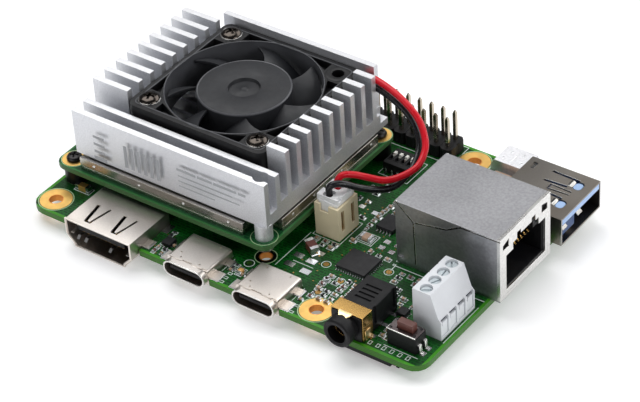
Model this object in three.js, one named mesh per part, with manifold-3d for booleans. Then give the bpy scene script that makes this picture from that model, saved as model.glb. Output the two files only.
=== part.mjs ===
// A single board computer: a carrier board with its sockets, a processor module on spacers, and a
// finned heat sink with a cooling fan.
// Millimetres, +Z up. The layout is drawn in board coordinates: x from the left edge, y from the
// front edge, z from the carrier's top face. The exported origin is the centre of the underside.

import * as THREE from 'three';
import { mergeVertices } from 'three/addons/utils/BufferGeometryUtils.js';
import Module from 'manifold-3d';

const wasm = await Module();
wasm.setup();

// ---- driving dimensions ----
const BOARD_X = 85;
const BOARD_Y = 56;
const BOARD_T = 1.2;
const BOARD_CORNER_R = 3;
const PAD_PROUD = 0.05;               // underside rings and pad stand this far off the board
const HOLE_R = 1.375;
const RING_R = 3.1;
const BOARD_HOLES = [[3.5, 3.5], [61.5, 3.5], [3.5, 52.5], [61.5, 52.5]];
const HDMI_X = 18.1;
const USB_C_X = [36.5, 51.5];
const MODULE_X = 48;
const MODULE_Y = [7.8, 47.8];
const MODULE_Z = [3.4, 4.4];
const MODULE_HOLES = [[2.6, 10.5], [45.6, 10.5], [2.6, 45.4], [45.6, 45.4]];
const MODULE_HOLE_R = 1.2;
const SINK_X = [4.3, 47.1];
const SINK_FRONT = 9.6;
const SINK_BOTTOM = 7.2;
const FIN_PITCH = 3.22;
const FIN_T = 1.2;
const FIN_COUNT = 12;
const FIN_TOP = 19.5;
const FAN_CENTRE = [27.8, 29.8];
const FAN_SIDE = 30;
const FAN_Z = [11.0, 18.0];
const FAN_SCREW_OFFSET = 12;
const BLADES = 7;
const PIN_PITCH = 2.54;
const PIN_SIDE = 0.64;
const PIN_TOP = 8.9;
const TERMINAL_Y = 8.0;
const TERMINAL_WAYS = 4;

// ---- solids ----
function solid(geometry) {
  geometry.deleteAttribute('normal');
  geometry.deleteAttribute('uv');
  const merged = mergeVertices(geometry, 1e-5);
  return new wasm.Manifold(new wasm.Mesh({
    numProp: 3,
    vertProperties: new Float32Array(merged.attributes.position.array),
    triVerts: new Uint32Array(merged.index.array),
  }));
}

function box(x, y, z) {
  const geometry = new THREE.BoxGeometry(x[1] - x[0], y[1] - y[0], z[1] - z[0]);
  geometry.translate((x[0] + x[1]) / 2, (y[0] + y[1]) / 2, (z[0] + z[1]) / 2);
  return solid(geometry);
}

function outline(points) {
  return new THREE.Shape(points.map((p) => new THREE.Vector2(p[0], p[1])));
}

// A prism of an (x, y) outline between two heights.
function prismZ(points, z) {
  const depth = z[1] - z[0];
  const geometry = new THREE.ExtrudeGeometry(outline(points), { depth, bevelEnabled: false });
  geometry.translate(0, 0, z[0]);
  return solid(geometry);
}

// A prism of an (x, z) outline between two y values.
function prismY(points, y) {
  const depth = y[1] - y[0];
  const geometry = new THREE.ExtrudeGeometry(outline(points), { depth, bevelEnabled: false });
  geometry.applyMatrix4(new THREE.Matrix4().set(1, 0, 0, 0, 0, 0, -1, y[1], 0, 1, 0, 0, 0, 0, 0, 1));
  return solid(geometry);
}

// A prism of a (y, z) outline between two x values.
function prismX(points, x) {
  const depth = x[1] - x[0];
  const geometry = new THREE.ExtrudeGeometry(outline(points), { depth, bevelEnabled: false });
  geometry.applyMatrix4(new THREE.Matrix4().set(0, 0, 1, x[0], 1, 0, 0, 0, 0, 1, 0, 0, 0, 0, 0, 1));
  return solid(geometry);
}

function circle(cx, cy, r, segments = 24) {
  return Array.from({ length: segments }, (_, i) => {
    const a = (2 * Math.PI * i) / segments;
    return [cx + r * Math.cos(a), cy + r * Math.sin(a)];
  });
}

function discZ(at, r, z, segments = 24) {
  return prismZ(circle(at[0], at[1], r, segments), z);
}

function ringZ(at, inner, outer, z, segments = 24) {
  return discZ(at, outer, z, segments).subtract(discZ(at, inner, [z[0] - 1, z[1] + 1], segments));
}

// A rectangle with rounded corners, in whichever plane its prism uses.
function rounded(u, v, r, steps = 4) {
  const corners = [[u[1] - r, v[1] - r], [u[0] + r, v[1] - r], [u[0] + r, v[0] + r], [u[1] - r, v[0] + r]];
  return corners.flatMap(([cu, cv], quarter) => Array.from({ length: steps + 1 }, (_, i) => {
    const a = (quarter + i / steps) * (Math.PI / 2);
    return [cu + r * Math.cos(a), cv + r * Math.sin(a)];
  }));
}

function shrink(range, by) {
  return [range[0] + by, range[1] - by];
}

// ---- the scene graph ----
const group = new THREE.Group();
const layout = new THREE.Group();
layout.position.set(-BOARD_X / 2, -BOARD_Y / 2, BOARD_T + PAD_PROUD);
group.add(layout);

function place(name, shape, color, roughness, metalness) {
  const data = shape.getMesh();
  const geometry = new THREE.BufferGeometry();
  geometry.setAttribute('position', new THREE.BufferAttribute(new Float32Array(data.vertProperties), 3));
  geometry.setIndex(new THREE.BufferAttribute(new Uint32Array(data.triVerts), 1));
  geometry.computeVertexNormals();
  const mesh = new THREE.Mesh(geometry, new THREE.MeshStandardMaterial({ color, roughness, metalness }));
  mesh.name = name;
  layout.add(mesh);
}

// ---- carrier board ----
function baseboard() {
  let board = prismZ(rounded([0, BOARD_X], [0, BOARD_Y], BOARD_CORNER_R), [-BOARD_T, 0]);
  board = board.subtract(box([HDMI_X - 7.5, HDMI_X + 7.5], [-1, 9.2], [-3, 1]));
  for (const x of USB_C_X) {
    board = board.subtract(box([x - 4.62, x + 4.62], [-1, 7.3], [-3, 1]));
  }
  for (const at of BOARD_HOLES) {
    board = board.add(discZ(at, RING_R, [-BOARD_T - PAD_PROUD, -BOARD_T + 0.2], 32));
    board = board.subtract(discZ(at, HOLE_R, [-3, 1], 24));
  }
  for (const at of MODULE_HOLES) {
    board = board.subtract(discZ(at, 1.25, [-3, 1], 16));
  }
  board = board.subtract(discZ([44.25, 7.45], 0.5, [-3, 1], 12));
  const middle = [BOARD_X / 2, BOARD_Y / 2];
  const pad = rounded([middle[0] - 3, middle[0] + 3], [middle[1] - 3, middle[1] + 3], 0.5, 2);
  return board.add(prismZ(pad, [-BOARD_T - PAD_PROUD, -BOARD_T + 0.2]));
}

// ---- display socket ----
function hdmiOutline(inset) {
  const w = 7.3 - inset;
  const n = 5.6 - inset;
  const top = 2.5 - inset;
  const low = -3.1 + inset;
  const half = [[n, low], [n + 0.15, -2.35], [w, -0.8], [w, top]];
  const mirrored = half.map(([x, z]) => [-x, z]).reverse();
  return half.concat(mirrored).map(([x, z]) => [HDMI_X + x, z]);
}

function hdmiShell() {
  const shell = prismY(hdmiOutline(0), [-2.15, 9.0]).subtract(prismY(hdmiOutline(0.3), [-3, 8.7]));
  const tabs = box([HDMI_X + 7.2, HDMI_X + 8.5], [1.2, 3.2], [0, 0.3])
    .add(box([HDMI_X - 8.5, HDMI_X - 7.2], [1.2, 3.2], [0, 0.3]));
  return shell.add(tabs);
}

function hdmiInsert() {
  const back = prismY(hdmiOutline(0.34), [5.2, 8.65]);
  return back.add(box([HDMI_X - 5.3, HDMI_X + 5.3], [-1.3, 6], [0.25, 1.35]));
}

// ---- two reversible data sockets ----
function usbCShell(x) {
  const nose = prismY(rounded([x - 4.47, x + 4.47], [-1.43, 1.83], 1.62, 5), [-1.25, 0.4]);
  const cover = prismY(rounded([x - 4.45, x + 4.45], [-1.4, 1.9], 0.6, 3), [0.1, 7.1]);
  const cavity = prismY(rounded([x - 4.17, x + 4.17], [-1.13, 1.53], 1.32, 5), [-2, 6.8]);
  const tabs = box([x + 4.3, x + 6.1], [0.4, 2.6], [0, 0.3])
    .add(box([x - 6.1, x - 4.3], [0.4, 2.6], [0, 0.3]))
    .add(box([x + 4.3, x + 5.6], [4.7, 6.3], [0, 0.3]))
    .add(box([x - 5.6, x - 4.3], [4.7, 6.3], [0, 0.3]));
  return nose.add(cover).add(tabs).subtract(cavity);
}

function usbCTongue(x) {
  const back = prismY(rounded([x - 4.12, x + 4.12], [-1.08, 1.48], 1.27, 5), [4.6, 6.75]);
  return back.add(box([x - 3.35, x + 3.35], [-0.65, 5], [-0.15, 0.55]));
}

// ---- round audio socket ----
const JACK = { x: [67, 73], y: [0.5, 11], z: [0, 5], axis: [69.9, 2.6] };

function jackBody() {
  const body = prismY(rounded(JACK.x, JACK.z, 0.35, 2), JACK.y);
  const barrel = prismY(circle(JACK.axis[0], JACK.axis[1], 2.4, 28), [-2.3, 2]);
  return body.add(barrel).subtract(prismY(circle(JACK.axis[0], JACK.axis[1], 1.8, 28), [-3, 9.6]));
}

function jackClip() {
  const y = [0.7, 3.5];
  const strap = box([JACK.x[0] - 0.25, JACK.x[1] + 0.25], y, [0.05, JACK.z[1] + 0.25]);
  return strap.subtract(box([JACK.x[0] - 0.02, JACK.x[1] + 0.02], [0, 5], [-1, JACK.z[1] + 0.02]));
}

// ---- push switch ----
const SWITCH = { x: [76.4, 82.3], y: [2.8, 6.1] };
const BUTTON = { x: [77.9, 81.0], y: [3.9, 5.3], top: 4.7, flange: 0.35, clearance: 0.12 };

function switchBody() {
  const room = -BUTTON.flange - BUTTON.clearance;
  const body = prismZ(rounded(SWITCH.x, SWITCH.y, 0.3, 2), [0, 3.2]);
  return body.subtract(box(shrink(BUTTON.x, room), shrink(BUTTON.y, room), [1.4, 4]));
}

function switchCover() {
  const plate = prismZ(rounded(shrink(SWITCH.x, 0.1), shrink(SWITCH.y, 0.1), 0.3, 2), [3.2, 3.4]);
  const gap = -BUTTON.clearance;
  return plate.subtract(box(shrink(BUTTON.x, gap), shrink(BUTTON.y, gap), [3, 4]));
}

function switchButton() {
  const foot = box(shrink(BUTTON.x, -BUTTON.flange), shrink(BUTTON.y, -BUTTON.flange), [2.0, 3.15]);
  return foot.add(box(BUTTON.x, BUTTON.y, [2.3, BUTTON.top]));
}

// ---- four way screw terminal ----
function terminalY(way) {
  return TERMINAL_Y + PIN_PITCH * (way + 0.5);
}

const TERMINAL_SCREW_X = 80.3;

function terminalHousing() {
  const side = [[78.3, 0], [83.9, 0], [83.9, 3.9], [83.3, 4.6], [81.9, 9], [78.3, 9]];
  const y = [TERMINAL_Y, TERMINAL_Y + PIN_PITCH * TERMINAL_WAYS];
  let housing = prismY(side, y);
  for (let way = 0; way < TERMINAL_WAYS; way += 1) {
    const at = terminalY(way);
    housing = housing.subtract(box([79.1, 85], [at - 1.0, at + 1.0], [0.6, 4.2]));
    housing = housing.subtract(discZ([TERMINAL_SCREW_X, at], 1.12, [4, 10], 20));
  }
  return housing;
}

function terminalScrew(way) {
  const at = [TERMINAL_SCREW_X, terminalY(way)];
  const head = discZ(at, 1.04, [7.2, 8.6], 20);
  const slot = box([at[0] - 2, at[0] + 2], [at[1] - 0.18, at[1] + 0.18], [8.1, 9]);
  return head.subtract(slot).add(discZ(at, 0.6, [2.4, 7.3], 12));
}

function terminalClamp(way) {
  const y = terminalY(way);
  const frame = box([79.3, 81.3], [y - 0.9, y + 0.9], [0.7, 3.7])
    .subtract(box([79, 82], [y - 0.68, y + 0.68], [1.15, 3.0]));
  return frame.subtract(discZ([TERMINAL_SCREW_X, y], 0.66, [2.5, 4], 12));
}

// ---- network socket ----
const LAN = { x: [65.8, 86.9], y: [21.4, 37.3], z: [0, 13.4] };

function lanShell() {
  return box(LAN.x, LAN.y, LAN.z)
    .subtract(box([LAN.x[0] + 0.35, LAN.x[1] + 1], shrink(LAN.y, 0.35), [0.35, LAN.z[1] - 0.35]));
}

function lanInsert() {
  const mid = (LAN.y[0] + LAN.y[1]) / 2;
  const core = box([LAN.x[0] + 0.4, LAN.x[1] - 0.5], shrink(LAN.y, 0.4), [0.4, LAN.z[1] - 0.4]);
  const port = [[mid - 5.9, 1.6], [mid + 5.9, 1.6], [mid + 5.9, 8.6], [mid + 3.2, 8.6], [mid + 3.2, 10.1],
    [mid + 1.7, 10.1], [mid + 1.7, 11.3], [mid - 1.7, 11.3], [mid - 1.7, 10.1], [mid - 3.2, 10.1],
    [mid - 3.2, 8.6], [mid - 5.9, 8.6]];
  return core.subtract(prismX(port, [72.5, 90]));
}

// ---- stacking data socket with a wide tongue ----
const USB_A = { x: [73.6, 87.5], y: [40.0, 53.1], z: [0, 5.7] };

function usbAShell() {
  return box(USB_A.x, USB_A.y, USB_A.z)
    .subtract(box([USB_A.x[0] + 0.3, USB_A.x[1] + 1], shrink(USB_A.y, 0.3), shrink(USB_A.z, 0.3)));
}

function usbATongue() {
  const mid = (USB_A.y[0] + USB_A.y[1]) / 2;
  const back = box([USB_A.x[0] + 0.35, 77], shrink(USB_A.y, 0.35), shrink(USB_A.z, 0.35));
  return back.add(box([76.5, 86.3], [mid - 5.6, mid + 5.6], [3.2, 5.0]));
}

// ---- small power socket on the back edge ----
const MICRO = { x: [65.3, 72.7], y: [52.1, 57.2], z: [0, 2.7] };

function microOutline(inset) {
  const mid = (MICRO.x[0] + MICRO.x[1]) / 2;
  const w = 3.7 - inset;
  const n = 3.0 - inset;
  return [[-w, inset], [w, inset], [w, 1.5], [n, MICRO.z[1] - inset], [-n, MICRO.z[1] - inset], [-w, 1.5]]
    .map(([x, z]) => [mid + x, z]);
}

function microShell() {
  return prismY(microOutline(0), MICRO.y).subtract(prismY(microOutline(0.25), [MICRO.y[0] + 0.25, 60]));
}

function microTongue() {
  const mid = (MICRO.x[0] + MICRO.x[1]) / 2;
  return prismY(microOutline(0.29), [MICRO.y[0] + 0.29, 53.6])
    .add(box([mid - 1.9, mid + 1.9], [53, 56.6], [1.35, 1.95]));
}

// ---- pin header ----
function pinHeader() {
  let header = box([7.1, 57.9], [49.96, 55.04], [0, 2.54]);
  for (let column = 0; column < 20; column += 1) {
    const x = 56.63 - PIN_PITCH * column;
    for (const y of [51.23, 53.77]) {
      const half = PIN_SIDE / 2;
      header = header.add(box([x - half, x + half], [y - half, y + half], [2, PIN_TOP]));
    }
  }
  return header;
}

// ---- slide switch bank ----
const DIP = { x: [48.9, 54.2], y: [41.6, 46.4], z: [0, 2.2] };

function dipX(index) {
  return 49.64 + 1.27 * index;
}

function dipBody() {
  let body = box(DIP.x, DIP.y, DIP.z);
  for (let index = 0; index < 4; index += 1) {
    body = body.subtract(box([dipX(index) - 0.4, dipX(index) + 0.4], [42.9, 45.3], [1.2, 3]));
  }
  return body;
}

function dipSlider(index) {
  const x = dipX(index);
  return box([x - 0.33, x + 0.33], [44.2, 45.2], [1.25, 2.1])
    .add(box([x - 0.25, x + 0.25], [44.35, 45.05], [2, 2.6]));
}

// ---- fan socket, its plug and the two wires ----
const FAN_SOCKET = { x: [49.1, 54.2], y: [20.5, 26.5], z: [0, 6.9] };

function fanSocket() {
  const { x, y, z } = FAN_SOCKET;
  return box(x, y, z)
    .subtract(box(shrink(x, 0.5), shrink(y, 0.5), [1.2, 9]))
    .subtract(box([x[0] + 1.2, x[0] + 3.0], [y[0] - 1, y[0] + 1], [5.4, 9]))
    .subtract(box([x[1] - 1, x[1] + 1], [y[0] + 1.0, y[0] + 1.9], [1.6, 5.9]))
    .subtract(box([x[1] - 1, x[1] + 1], [y[1] - 2.0, y[1] - 1.1], [1.6, 5.9]));
}

function fanPlug() {
  const { x, y } = FAN_SOCKET;
  return box(shrink(x, 0.58), shrink(y, 0.58), [1.3, 7.4])
    .add(box([x[0] + 0.2, x[1] - 0.5], [y[0] + 0.7, y[1] - 0.3], [7.0, 8.4]));
}

function wire(points) {
  const path = new THREE.CatmullRomCurve3(points.map((p) => new THREE.Vector3(...p)));
  const section = outline(circle(0, 0, 0.62, 8));
  return solid(new THREE.ExtrudeGeometry(section, { steps: 26, bevelEnabled: false, extrudePath: path }));
}

const RED_PATH = [[43.5, 44, 17.5], [46.6, 44, 17.8], [52.2, 43, 16.8], [57, 41.6, 14.8], [59.8, 39.6, 12.6],
  [60.9, 37.5, 11], [61, 34.8, 9.8], [59.4, 31.9, 9], [57.5, 30, 8.8], [55.1, 28.8, 9.2],
  [53.1, 27.3, 10], [51.7, 25.8, 10.3], [51.2, 24.9, 9.5], [51.2, 24.85, 8.6]];
const BLACK_PATH = [[43.5, 44, 15.9], [46.4, 43.9, 16.2], [50.9, 43.2, 15.4], [54.5, 42.5, 13.8],
  [57.4, 40.9, 11.8], [58.8, 39, 10.2], [59.5, 36.3, 8.8], [59.5, 34.1, 8], [58.8, 31.1, 7.2],
  [57.1, 28.7, 7.4], [54.9, 26.3, 8.5], [53.1, 24.3, 9.9], [51.8, 22.9, 10.2], [51.2, 22.4, 9.5],
  [51.2, 22.35, 8.6]];

// ---- processor module ----
function moduleBoard() {
  let board = prismZ(rounded([0, MODULE_X], MODULE_Y, 2), MODULE_Z);
  for (const at of MODULE_HOLES) {
    board = board.subtract(discZ(at, MODULE_HOLE_R, [0, 6], 20));
  }
  return board;
}

function canOutline(inset) {
  const [left, front, right, back] = [5.5 + inset, 8.8 + inset, 47.4 - inset, 46 - inset];
  const step = [42.3 - inset, 13.5 + inset];
  const backStep = [42.6 - inset, 42.6 - inset];
  return [[left, front], [step[0], front], step, [right, step[1]], [right, backStep[1]], backStep,
    [backStep[0], back], [left, back]];
}

function shieldCan() {
  return prismZ(canOutline(0), [MODULE_Z[1], 6.9]).subtract(prismZ(canOutline(0.3), [4, 6.6]));
}

function spacer(at) {
  return ringZ(at, 0.95, 2.1, [0, MODULE_Z[0]], 20);
}

function moduleScrew(at) {
  return discZ(at, 1.45, [MODULE_Z[1], 5.4], 20).add(discZ(at, 0.85, [0.4, 5], 12));
}

// ---- heat sink ----
const POCKET = { x: [12.3, 43.1], y: [14.5, 45.0] };
const SINK_SCREW = MODULE_HOLES[1];
const SINK_NOTCH = { at: [45.0, 11.6], r: 1.45 };

function finY(index) {
  const y = SINK_FRONT + FIN_PITCH * index;
  return [y, y + FIN_T];
}

function heatSink() {
  const back = finY(FIN_COUNT - 1)[1];
  let sink = box(SINK_X, [SINK_FRONT, back], [SINK_BOTTOM, 9.6]);
  sink = sink.add(box(SINK_X, [finY(1)[1] - 0.1, back], [9, 10.4]));
  for (let index = 0; index < FIN_COUNT - 1; index += 1) {
    sink = sink.add(box(SINK_X, finY(index), [9, index < 2 ? 16.4 : FIN_TOP]));
  }
  sink = sink.add(box([11.6, 45.4], finY(FIN_COUNT - 1), [9, FIN_TOP]));
  sink = sink.subtract(box(POCKET.x, POCKET.y, [FAN_Z[0], 25]));
  sink = sink.subtract(box([45.5, 50], [44, 50], [8.5, 25]));
  for (const at of fanCorners()) {
    sink = sink.subtract(discZ(at, 0.95, [8.3, 25], 12));
  }
  sink = sink.subtract(discZ(SINK_NOTCH.at, SINK_NOTCH.r, [8.6, 25], 24));
  sink = sink.add(discZ(SINK_SCREW, 1.6, [MODULE_Z[1], 7.5], 20));
  return sink.subtract(discZ(SINK_SCREW, 0.85, [0, 8.1], 12));
}

// The screw comes up through the module into the sink's post.
function sinkScrew() {
  return discZ(SINK_SCREW, 1.6, [2.1, MODULE_Z[0]], 20).add(discZ(SINK_SCREW, 0.75, [3, 7.9], 12));
}

// ---- fan ----
function fanCorners() {
  const [x, y] = FAN_CENTRE;
  const d = FAN_SCREW_OFFSET;
  return [[x - d, y - d], [x + d, y - d], [x - d, y + d], [x + d, y + d]];
}

function fanFrame() {
  const [x, y] = FAN_CENTRE;
  const half = FAN_SIDE / 2;
  let frame = prismZ(rounded([x - half, x + half], [y - half, y + half], 1.6, 3), FAN_Z);
  frame = frame.subtract(discZ(FAN_CENTRE, 14.3, [10, 20], 48));
  frame = frame.add(discZ(FAN_CENTRE, 8.4, [FAN_Z[0], FAN_Z[0] + 0.9], 32));
  for (let arm = 0; arm < 4; arm += 1) {
    const strut = new THREE.BoxGeometry(7, 1.6, 0.9);
    strut.translate(11.3, 0, FAN_Z[0] + 0.45);
    strut.rotateZ((arm + 0.5) * (Math.PI / 2));
    strut.translate(x, y, 0);
    frame = frame.add(solid(strut));
  }
  frame = frame.add(discZ(FAN_CENTRE, 2.7, [FAN_Z[0] + 0.5, 16.2], 20));
  frame = frame.subtract(discZ(FAN_CENTRE, 2.05, [11.4, 20], 20));
  for (const at of fanCorners()) {
    frame = frame.subtract(discZ(at, 1.15, [10, 20], 16));
  }
  return frame;
}

function fanBearing() {
  return ringZ(FAN_CENTRE, 0.8, 2.0, [11.45, 16.1], 20);
}

function fanStator() {
  const core = ringZ(FAN_CENTRE, 2.75, 3.6, [12.2, 15.8], 20);
  const rim = ringZ(FAN_CENTRE, 4.9, 5.7, [12.7, 15.3], 32);
  let stator = core.add(rim);
  for (let arm = 0; arm < 4; arm += 1) {
    const tooth = new THREE.BoxGeometry(2.2, 1.5, 2.6);
    tooth.translate(4.25, 0, 14);
    tooth.rotateZ(arm * (Math.PI / 2));
    tooth.translate(FAN_CENTRE[0], FAN_CENTRE[1], 0);
    stator = stator.add(solid(tooth));
  }
  return stator;
}

// One blade: a flat slab pitched across the duct, trimmed to the ring between hub and duct wall.
function fanBlade(turn) {
  const slab = new THREE.BoxGeometry(7, 8.6, 0.7);
  slab.rotateX(0.56);
  slab.translate(11.3, 0, 14.9);
  slab.rotateZ(turn);
  slab.translate(FAN_CENTRE[0], FAN_CENTRE[1], 0);
  return solid(slab);
}

function fanRotor() {
  let blades = fanBlade(0);
  for (let blade = 1; blade < BLADES; blade += 1) {
    blades = blades.add(fanBlade((blade * 2 * Math.PI) / BLADES));
  }
  blades = blades.intersect(ringZ(FAN_CENTRE, 8.1, 13.8, [11.5, 18], 42));
  const cup = discZ(FAN_CENTRE, 8.6, [12.2, 17.9], 42).subtract(discZ(FAN_CENTRE, 7.7, [11, 17.0], 42));
  const recessed = cup.subtract(discZ(FAN_CENTRE, 2.95, [17.5, 19], 24));
  return recessed.add(discZ(FAN_CENTRE, 0.75, [12.0, 17.2], 12)).add(blades);
}

function fanMagnet() {
  return ringZ(FAN_CENTRE, 6.2, 7.65, [12.4, 16.6], 40);
}

function fanScrew(at) {
  return discZ(at, 1.95, [FAN_Z[1], 18.9], 20)
    .subtract(box([at[0] - 1, at[0] + 1], [at[1] - 0.25, at[1] + 0.25], [18.4, 20]))
    .subtract(box([at[0] - 0.25, at[0] + 0.25], [at[1] - 1, at[1] + 1], [18.4, 20]))
    .add(discZ(at, 0.85, [8.6, 18.2], 12));
}

// ---- underside ribbon socket and card slot ----
const RIBBON = { x: [66, 80], y: [1.0, 5.2], z: [-BOARD_T - 1.45, -BOARD_T] };

function ribbonSocket() {
  const { x, y, z } = RIBBON;
  return box(x, y, z)
    .subtract(box(shrink(x, 1.0), [y[0] - 1, 3.6], [z[0] + 0.5, z[0] + 0.95]))
    .subtract(box(shrink(x, 0.6), [y[0] - 1, 2.3], [z[0] - 1, z[0] + 0.6]));
}

function ribbonLatch() {
  const { x, y, z } = RIBBON;
  return box(shrink(x, 0.75), [y[0] + 0.1, 2.15], [z[0] + 0.05, z[0] + 0.42]);
}

function cardSlot() {
  const shell = box([5, 17.2], [20, 34.8], [-BOARD_T - 1.5, -BOARD_T]);
  return shell.subtract(box([4, 16.9], [20.5, 34.3], [-BOARD_T - 1.3, -BOARD_T - 0.3]));
}

// ---- build ----
place('baseboard_pcb', baseboard(), 0x14532f, 0.55, 0.0);
place('hdmi_shell', hdmiShell(), 0xb9b6ad, 0.3, 0.9);
place('hdmi_insert', hdmiInsert(), 0x151515, 0.6, 0.0);
USB_C_X.forEach((x, i) => {
  place(`usb_c_shell_${i + 1}`, usbCShell(x), 0xb5b1a6, 0.3, 0.9);
  place(`usb_c_tongue_${i + 1}`, usbCTongue(x), 0x141414, 0.6, 0.0);
});
place('audio_jack_body', jackBody(), 0x1c1c1e, 0.6, 0.0);
place('audio_jack_clip', jackClip(), 0xb98a3c, 0.35, 0.9);
place('reset_switch_body', switchBody(), 0x1a1a1a, 0.6, 0.0);
place('reset_switch_cover', switchCover(), 0xb4b4b0, 0.4, 0.9);
place('reset_button', switchButton(), 0x6e2f26, 0.5, 0.0);
place('terminal_housing', terminalHousing(), 0xc9ccd0, 0.55, 0.0);
for (let way = 0; way < TERMINAL_WAYS; way += 1) {
  place(`terminal_screw_${way + 1}`, terminalScrew(way), 0x9aa3a6, 0.35, 0.9);
  place(`terminal_clamp_${way + 1}`, terminalClamp(way), 0xa8a8a4, 0.35, 0.9);
}
place('ethernet_shell', lanShell(), 0xaaa9a4, 0.35, 0.9);
place('ethernet_insert', lanInsert(), 0x121212, 0.6, 0.0);
place('usb_a_shell', usbAShell(), 0x8d857a, 0.35, 0.9);
place('usb_a_tongue', usbATongue(), 0x1f4fa8, 0.5, 0.0);
place('micro_usb_shell', microShell(), 0xb9b8b2, 0.35, 0.9);
place('micro_usb_tongue', microTongue(), 0x171717, 0.6, 0.0);
place('gpio_header', pinHeader(), 0x18181a, 0.6, 0.0);
place('dip_switch_body', dipBody(), 0x1b1b1d, 0.6, 0.0);
for (let index = 0; index < 4; index += 1) {
  place(`dip_slider_${index + 1}`, dipSlider(index), 0xe6e4dc, 0.5, 0.0);
}
place('fan_socket', fanSocket(), 0xe0d2ae, 0.5, 0.0);
place('fan_plug', fanPlug(), 0xf0f0ec, 0.5, 0.0);
place('fan_wire_red', wire(RED_PATH), 0xc01525, 0.4, 0.0);
place('fan_wire_black', wire(BLACK_PATH), 0x141416, 0.4, 0.0);
place('module_pcb', moduleBoard(), 0x1d6b3c, 0.5, 0.0);
place('module_shield', shieldCan(), 0xa5a49c, 0.35, 0.9);
place('module_processor', box([17, 31], [20, 34], [MODULE_Z[1], 5.6]), 0x1a1a1c, 0.5, 0.0);
place('heat_sink_pad', box([10, 40], [14, 42], [6.9, SINK_BOTTOM]), 0x8b9aa8, 0.8, 0.0);
place('stack_connector_front', box([12, 36], [12.2, 15.6], [0, MODULE_Z[0]]), 0x1a1a1a, 0.6, 0.0);
place('stack_connector_back', box([12, 36], [40.2, 43.6], [0, MODULE_Z[0]]), 0x1a1a1a, 0.6, 0.0);
place('spacer_front', spacer(MODULE_HOLES[0]), 0x161616, 0.5, 0.0);
place('spacer_back', spacer(MODULE_HOLES[3]), 0x161616, 0.5, 0.0);
place('module_screw_front', moduleScrew(MODULE_HOLES[0]), 0x1b1b1b, 0.4, 0.8);
place('module_screw_back', moduleScrew(MODULE_HOLES[3]), 0x1b1b1b, 0.4, 0.8);
place('heat_sink', heatSink(), 0xb9bfc5, 0.5, 0.9);
place('heat_sink_screw', sinkScrew(), 0x9b9b99, 0.35, 0.9);
place('fan_frame', fanFrame(), 0x2a2b2d, 0.6, 0.0);
place('fan_bearing', fanBearing(), 0xa8844a, 0.4, 0.9);
place('fan_stator', fanStator(), 0x8a4a25, 0.5, 0.6);
place('fan_rotor', fanRotor(), 0x2c2d30, 0.6, 0.0);
place('fan_magnet', fanMagnet(), 0x3a3a3c, 0.7, 0.3);
fanCorners().slice(0, 3).forEach((at, i) => {
  place(`fan_screw_${i + 1}`, fanScrew(at), 0x8e8b86, 0.35, 0.9);
});
place('ribbon_socket', ribbonSocket(), 0x1a1a1a, 0.6, 0.0);
place('ribbon_latch', ribbonLatch(), 0x4a4036, 0.6, 0.0);
place('card_slot', cardSlot(), 0xa9a8a3, 0.35, 0.9);

export default group;
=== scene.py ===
"""The looks of a bare single board computer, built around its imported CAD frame.

Sizes are in millimetres in board coordinates: x from the carrier's left edge, y from its front edge and z
from its top face. Pieces that dress a CAD node take their size from that node's box.
"""

import math
import random

import bmesh
import bpy
from mathutils import Matrix, Vector


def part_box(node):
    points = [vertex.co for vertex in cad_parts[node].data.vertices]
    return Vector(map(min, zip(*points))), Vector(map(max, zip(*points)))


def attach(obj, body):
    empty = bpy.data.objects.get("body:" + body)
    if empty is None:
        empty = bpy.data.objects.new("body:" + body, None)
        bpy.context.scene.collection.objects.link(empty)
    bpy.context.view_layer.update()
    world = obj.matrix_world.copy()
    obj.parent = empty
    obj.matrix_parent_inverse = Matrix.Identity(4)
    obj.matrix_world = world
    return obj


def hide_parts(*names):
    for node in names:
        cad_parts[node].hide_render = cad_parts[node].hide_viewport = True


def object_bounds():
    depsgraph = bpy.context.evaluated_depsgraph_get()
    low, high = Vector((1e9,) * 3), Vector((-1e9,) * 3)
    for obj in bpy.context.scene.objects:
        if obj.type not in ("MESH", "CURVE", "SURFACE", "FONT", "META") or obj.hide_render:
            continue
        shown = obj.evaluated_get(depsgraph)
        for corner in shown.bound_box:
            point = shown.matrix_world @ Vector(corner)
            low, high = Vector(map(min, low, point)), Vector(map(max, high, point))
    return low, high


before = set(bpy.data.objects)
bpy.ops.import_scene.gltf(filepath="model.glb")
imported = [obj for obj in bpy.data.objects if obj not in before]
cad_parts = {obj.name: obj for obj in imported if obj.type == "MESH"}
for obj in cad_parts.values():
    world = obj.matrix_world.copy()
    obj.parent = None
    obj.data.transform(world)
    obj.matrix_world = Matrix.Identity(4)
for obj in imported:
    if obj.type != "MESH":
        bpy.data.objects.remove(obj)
cad_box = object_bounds()

MM = 0.001
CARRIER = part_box("baseboard_pcb")
ORIGIN = Vector((CARRIER[0][0], CARRIER[0][1], CARRIER[1][2]))
BOARD = ((CARRIER[1][0] - CARRIER[0][0]) / MM, (CARRIER[1][1] - CARRIER[0][1]) / MM)
CORNER_HOLES = [(3.5, 3.5), (61.5, 3.5), (3.5, 52.5), (61.5, 52.5)]
UNDER = -1.2  # the underside's height, below the top face


def span(node):
    """The node's x, y and z ranges in board coordinates."""
    low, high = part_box(node)
    return [((low[i] - ORIGIN[i]) / MM, (high[i] - ORIGIN[i]) / MM) for i in range(3)]


def middle(node):
    return [(a + b) / 2 for a, b in span(node)]


def place(x, y, z):
    return ORIGIN + Vector((x, y, z)) * MM


# ---- materials ----

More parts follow.
